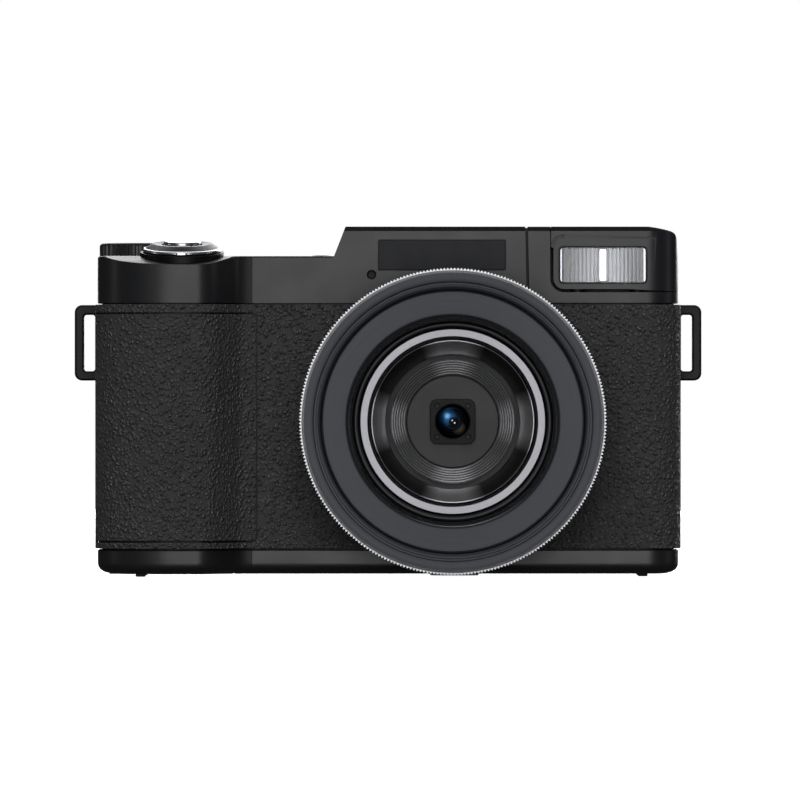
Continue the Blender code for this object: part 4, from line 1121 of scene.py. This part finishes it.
# Screen, keys and ports


def make_screen():
    low, high = span("screen_housing")
    across, up = (low.x, high.x), (6.5, 59.3)
    hinge = (0, 24.3, 61.6)
    tray = slab("screen_shell", rounded(across, up, 2.4, 8), 21.6, 26.0, "front", 0.5)
    web = box("web", (-11, 31), (22.6, 25.8), (58.9, 61.6))
    knuckle = rod("knuckle", 2.0, -11, 31, hinge, ALONG_X, 64, 0.2)
    join(tray, web, knuckle)
    cut(tray, slab("room", rounded((-25.5, 45.5), (9.0, 56.8), 1.2), 23.0, 30, "front"),
        rod("bore", 0.9, -60, 60, hinge, ALONG_X, 48))
    settle(tray, "screen", "shell", "black", "screen_housing")
    glass = slab("screen_window", rounded((-25.35, 45.35), (9.15, 56.65), 1.1), 25.0, 25.85, "front", 0.12)
    settle(glass, "screen", "screen_glass", "glass", "screen_glass")
    view = slab("screen_view", rounded((-22.0, 42.0), (12.6, 54.6), 0.6), 25.84, 25.9, "front")
    settle(view, "screen", "screen_view", "glass")
    bracket = box("hinge_plate", (-22, 42), (21.3, 21.9), (59.9, 63.9), 0.15)
    for reach in ((-22, -11.3), (31.3, 42)):
        web = box("web", reach, (21.5, 24.3), (60.1, 63.1))
        join(bracket, web, rod("end", 2.0, *reach, hinge, ALONG_X, 64, 0.2))
    cut(bracket, rod("bore", 0.9, -60, 60, hinge, ALONG_X, 48))
    settle(bracket, "casing", "black", "black", "hinge_bracket")
    pin = rod("hinge_rod", 0.8, -21, 41, hinge, ALONG_X, 48, 0.15)
    settle(pin, "casing", "steel", "steel", "hinge_pin")


def make_rear_cover():
    levels = [(-0.12, BAND_LOW), (0, BAND_LOW + 0.12), (0, BAND_HIGH - 0.12), (-0.12, BAND_HIGH)]
    cover = casing("rear_shell", levels)
    room = casing("room", [(-1.6, 0), (-1.6, 80)])
    pad = (PAD.x, BACK, PAD.z)
    cuts = [mesh_box((-80, 80), (-40, 8.1), (0, 80)), rod("pad", 9.65, -9, 9, pad, BACKWARD, 128)]
    for side in (-1, 1):
        cuts.append(mesh_box(sorted((side * 54.2, side * 60)), (0, 11.4), (38.9, 60)))
    for node in ("menu_button", "play_button"):
        spot = middle(node)
        cuts.append(rod("key", 2.85, -9, 9, (spot.x, BACK, spot.z), BACKWARD, 64))
    cuts.append(mesh_box((HALF_WIDTH - 1.3, 60), (10.8, 16.8), (20.0, 36.0)))
    cuts.append(mesh_box((HALF_WIDTH - 4, 60), (11.7, 15.6), (22.4, 31.6)))
    for row in range(3):
        for column in range(4 - row % 2):
            spot = (-47.0 + 2.3 * column + (row % 2) * 1.15, BACK, 9.6 + 1.9 * row * 0.86)
            cuts.append(rod("sound_hole", 0.5, -0.9, 2, spot, BACKWARD, 20))
    cut(cover, room, *cuts)
    break_edges(cover, 0.12)
    settle(cover, "casing", "shell", "shell", "rear_cover")


def make_keys():
    for way, start in (("up", 90), ("down", 270), ("left", 180), ("right", 0)):
        node, body = f"nav_{way}", f"key_{way}"
        outline = arc((PAD.x, PAD.z), 9.4, start - 43, start + 43, 24)
        outline += arc((PAD.x, PAD.z), 4.4, start + 41, start - 41, 16)
        key = slab(f"{node}_key", outline, BACK - 2.6, BACK + 0.9, "front", 0.3, 4)
        out = Vector((cos(radians(start)), sin(radians(start))))
        wide = Vector((-out.y, out.x))
        tip = Vector((PAD.x, PAD.z)) + out * 7.6
        corners = [tip + out * 0.6, tip - out * 0.5 + wide * 0.8, tip - out * 0.5 - wide * 0.8]
        arrow = slab(f"{node}_arrow", corners, BACK + 0.88, BACK + 0.94, "front")
        settle(key, body, "shell", "black", node)
        settle(arrow, body, "print", "black")
    for word, radius in (("ok", 3.9), ("menu", 2.6), ("play", 2.6)):
        node, body = f"{word}_button", f"key_{word}"
        spot = middle(node)
        crown = [(0, 0.78), (radius * 0.5, 0.82), (radius - 0.45, 0.9), (radius, 0.6)]
        profile = soften([*crown, (radius, -2.6), (0, -2.6)], 0.2, closed=False)
        key = turned(f"{node}_cap", profile, (spot.x, BACK, spot.z), BACKWARD, 96, False)
        settle(key, body, "shell", "black", node)


def make_ports():
    low, high = span("port_door")
    door = slab("port_cover", rounded((low.y, high.y), (low.z, high.z), 0.8), low.x, high.x, "side", 0.2)
    grip = rounded((low.y + 0.8, high.y - 1.4), (low.z + 0.8, low.z + 1.6), 0.3)
    lip = slab("lip", grip, high.x - 0.05, high.x + 0.18, "side", 0.08)
    merge(door, lip)
    settle(door, "ports", "rubber", "rubber", "port_door")


def make_underside():
    low, high = span("battery_door")
    door = slab("battery_cover", rounded((low.x, high.x), (low.y, low.y + 16.1), 1.3, 8), 0.5, 2.0, soft=0.12)
    roll_x = (low.x + 1.3, high.x - 1.3)
    pin = Vector((middle("door_pin").x, 13.0, 2.1))
    half = (roll_x[1] - roll_x[0]) / 2
    cut(door, mesh_box((-47.3, -39.3), (-3.4, 1.4), (-1, 5)))
    roll = rod("roll", 1.25, -half, half, pin, ALONG_X, 48, 0.1)
    join(door, mesh_box(roll_x, (11.0, 13.0), (0.9, 2.0)), roll)
    cut(door, rod("bore", 0.7, -20, 20, pin, ALONG_X, 48))
    settle(door, "door", "shell", "shell", "battery_door")
    latch = box("battery_catch", (-47.0, -39.6), (-3.1, -0.4), (0.6, 2.6), 0.15)
    ridges = [box("ridge", (-46.2, -40.4), (y, y + 0.3), (0.4, 0.8), 0.08) for y in (-2.5, -1.9, -1.3)]
    merge(latch, *ridges)
    settle(latch, "latch", "black", "black", "door_latch")
    rod_piece = rod("door_rod", 0.6, -13.4, 13.4, pin, ALONG_X, 48, 0.1)
    settle(rod_piece, "casing", "steel", "steel", "door_pin")
    base = middle("tripod_socket")
    bottom = span("tripod_socket")[0].z
    bore = [(0, 8.9), (5.0, 8.9), (5.0, 0.25), (4.75, 0.0), (3.6, 0.0), (3.2, 0.4)]
    for step in range(5):
        tooth = [(3.2, 0.7), (2.75, 1.1), (2.75, 1.3), (3.2, 1.7)]
        bore += [(radius, height + 1.27 * step) for radius, height in tooth]
    bore += [(3.2, 7.5), (0, 7.5)]
    socket = turned("tripod_bush", bore, (base.x, base.y, bottom), UPRIGHT, 96, closed=False)
    settle(socket, "casing", "steel", "steel", "tripod_socket")


def paint_nodes():
    """Give the CAD nodes that stay in view, or show through an opening, their materials."""
    kept = {
        "front_cover": "deep",
        "battery": "cell",
        "memory_card": "plate",
        "usb_socket": "steel",
        "main_board": "board",
        "sensor_board": "board",
        "image_sensor": "plate",
        "lens_barrel": "black",
        "lcd_panel": "plate",
        "speaker": "black",
        "flash_capacitor": "cell",
    }
    for node, look in kept.items():
        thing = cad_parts[node]
        thing.data.materials.clear()
        thing.data.materials.append(LOOKS[look])


def make_lights():
    """A broad softbox round the camera, others above and behind, and narrow strips at the sides."""
    make_light("front_softbox", (0, -1500, 60), (0, 0, 35), (950, 950), 8.4)
    make_light("high_softbox", (-80, -700, 900), (0, 0, 30), (700, 500), 1.6)
    make_light("left_strip", (-700, -40, 50), (0, -10, 35), (60, 300), 0.12)
    make_light("right_strip", (700, -40, 50), (0, -10, 35), (60, 300), 0.12)
    make_light("top", (0, 500, 700), (0, 100, 40), (900, 400), 1.6)
    make_light("rear_softbox", (300, 1400, 500), (0, 0, 35), (1300, 1000), 16.0)


make_studio()
make_camera()
make_lights()
make_top_cover()
make_surround()
make_gaskets()
make_flash_head()
make_flash_window()
make_flash_inside()
make_flash_trim()
make_trim()
make_band()
make_bottom()
make_lugs()
make_top_controls()
make_lens()
make_screen()
make_rear_cover()
make_keys()
make_ports()
make_underside()
paint_nodes()
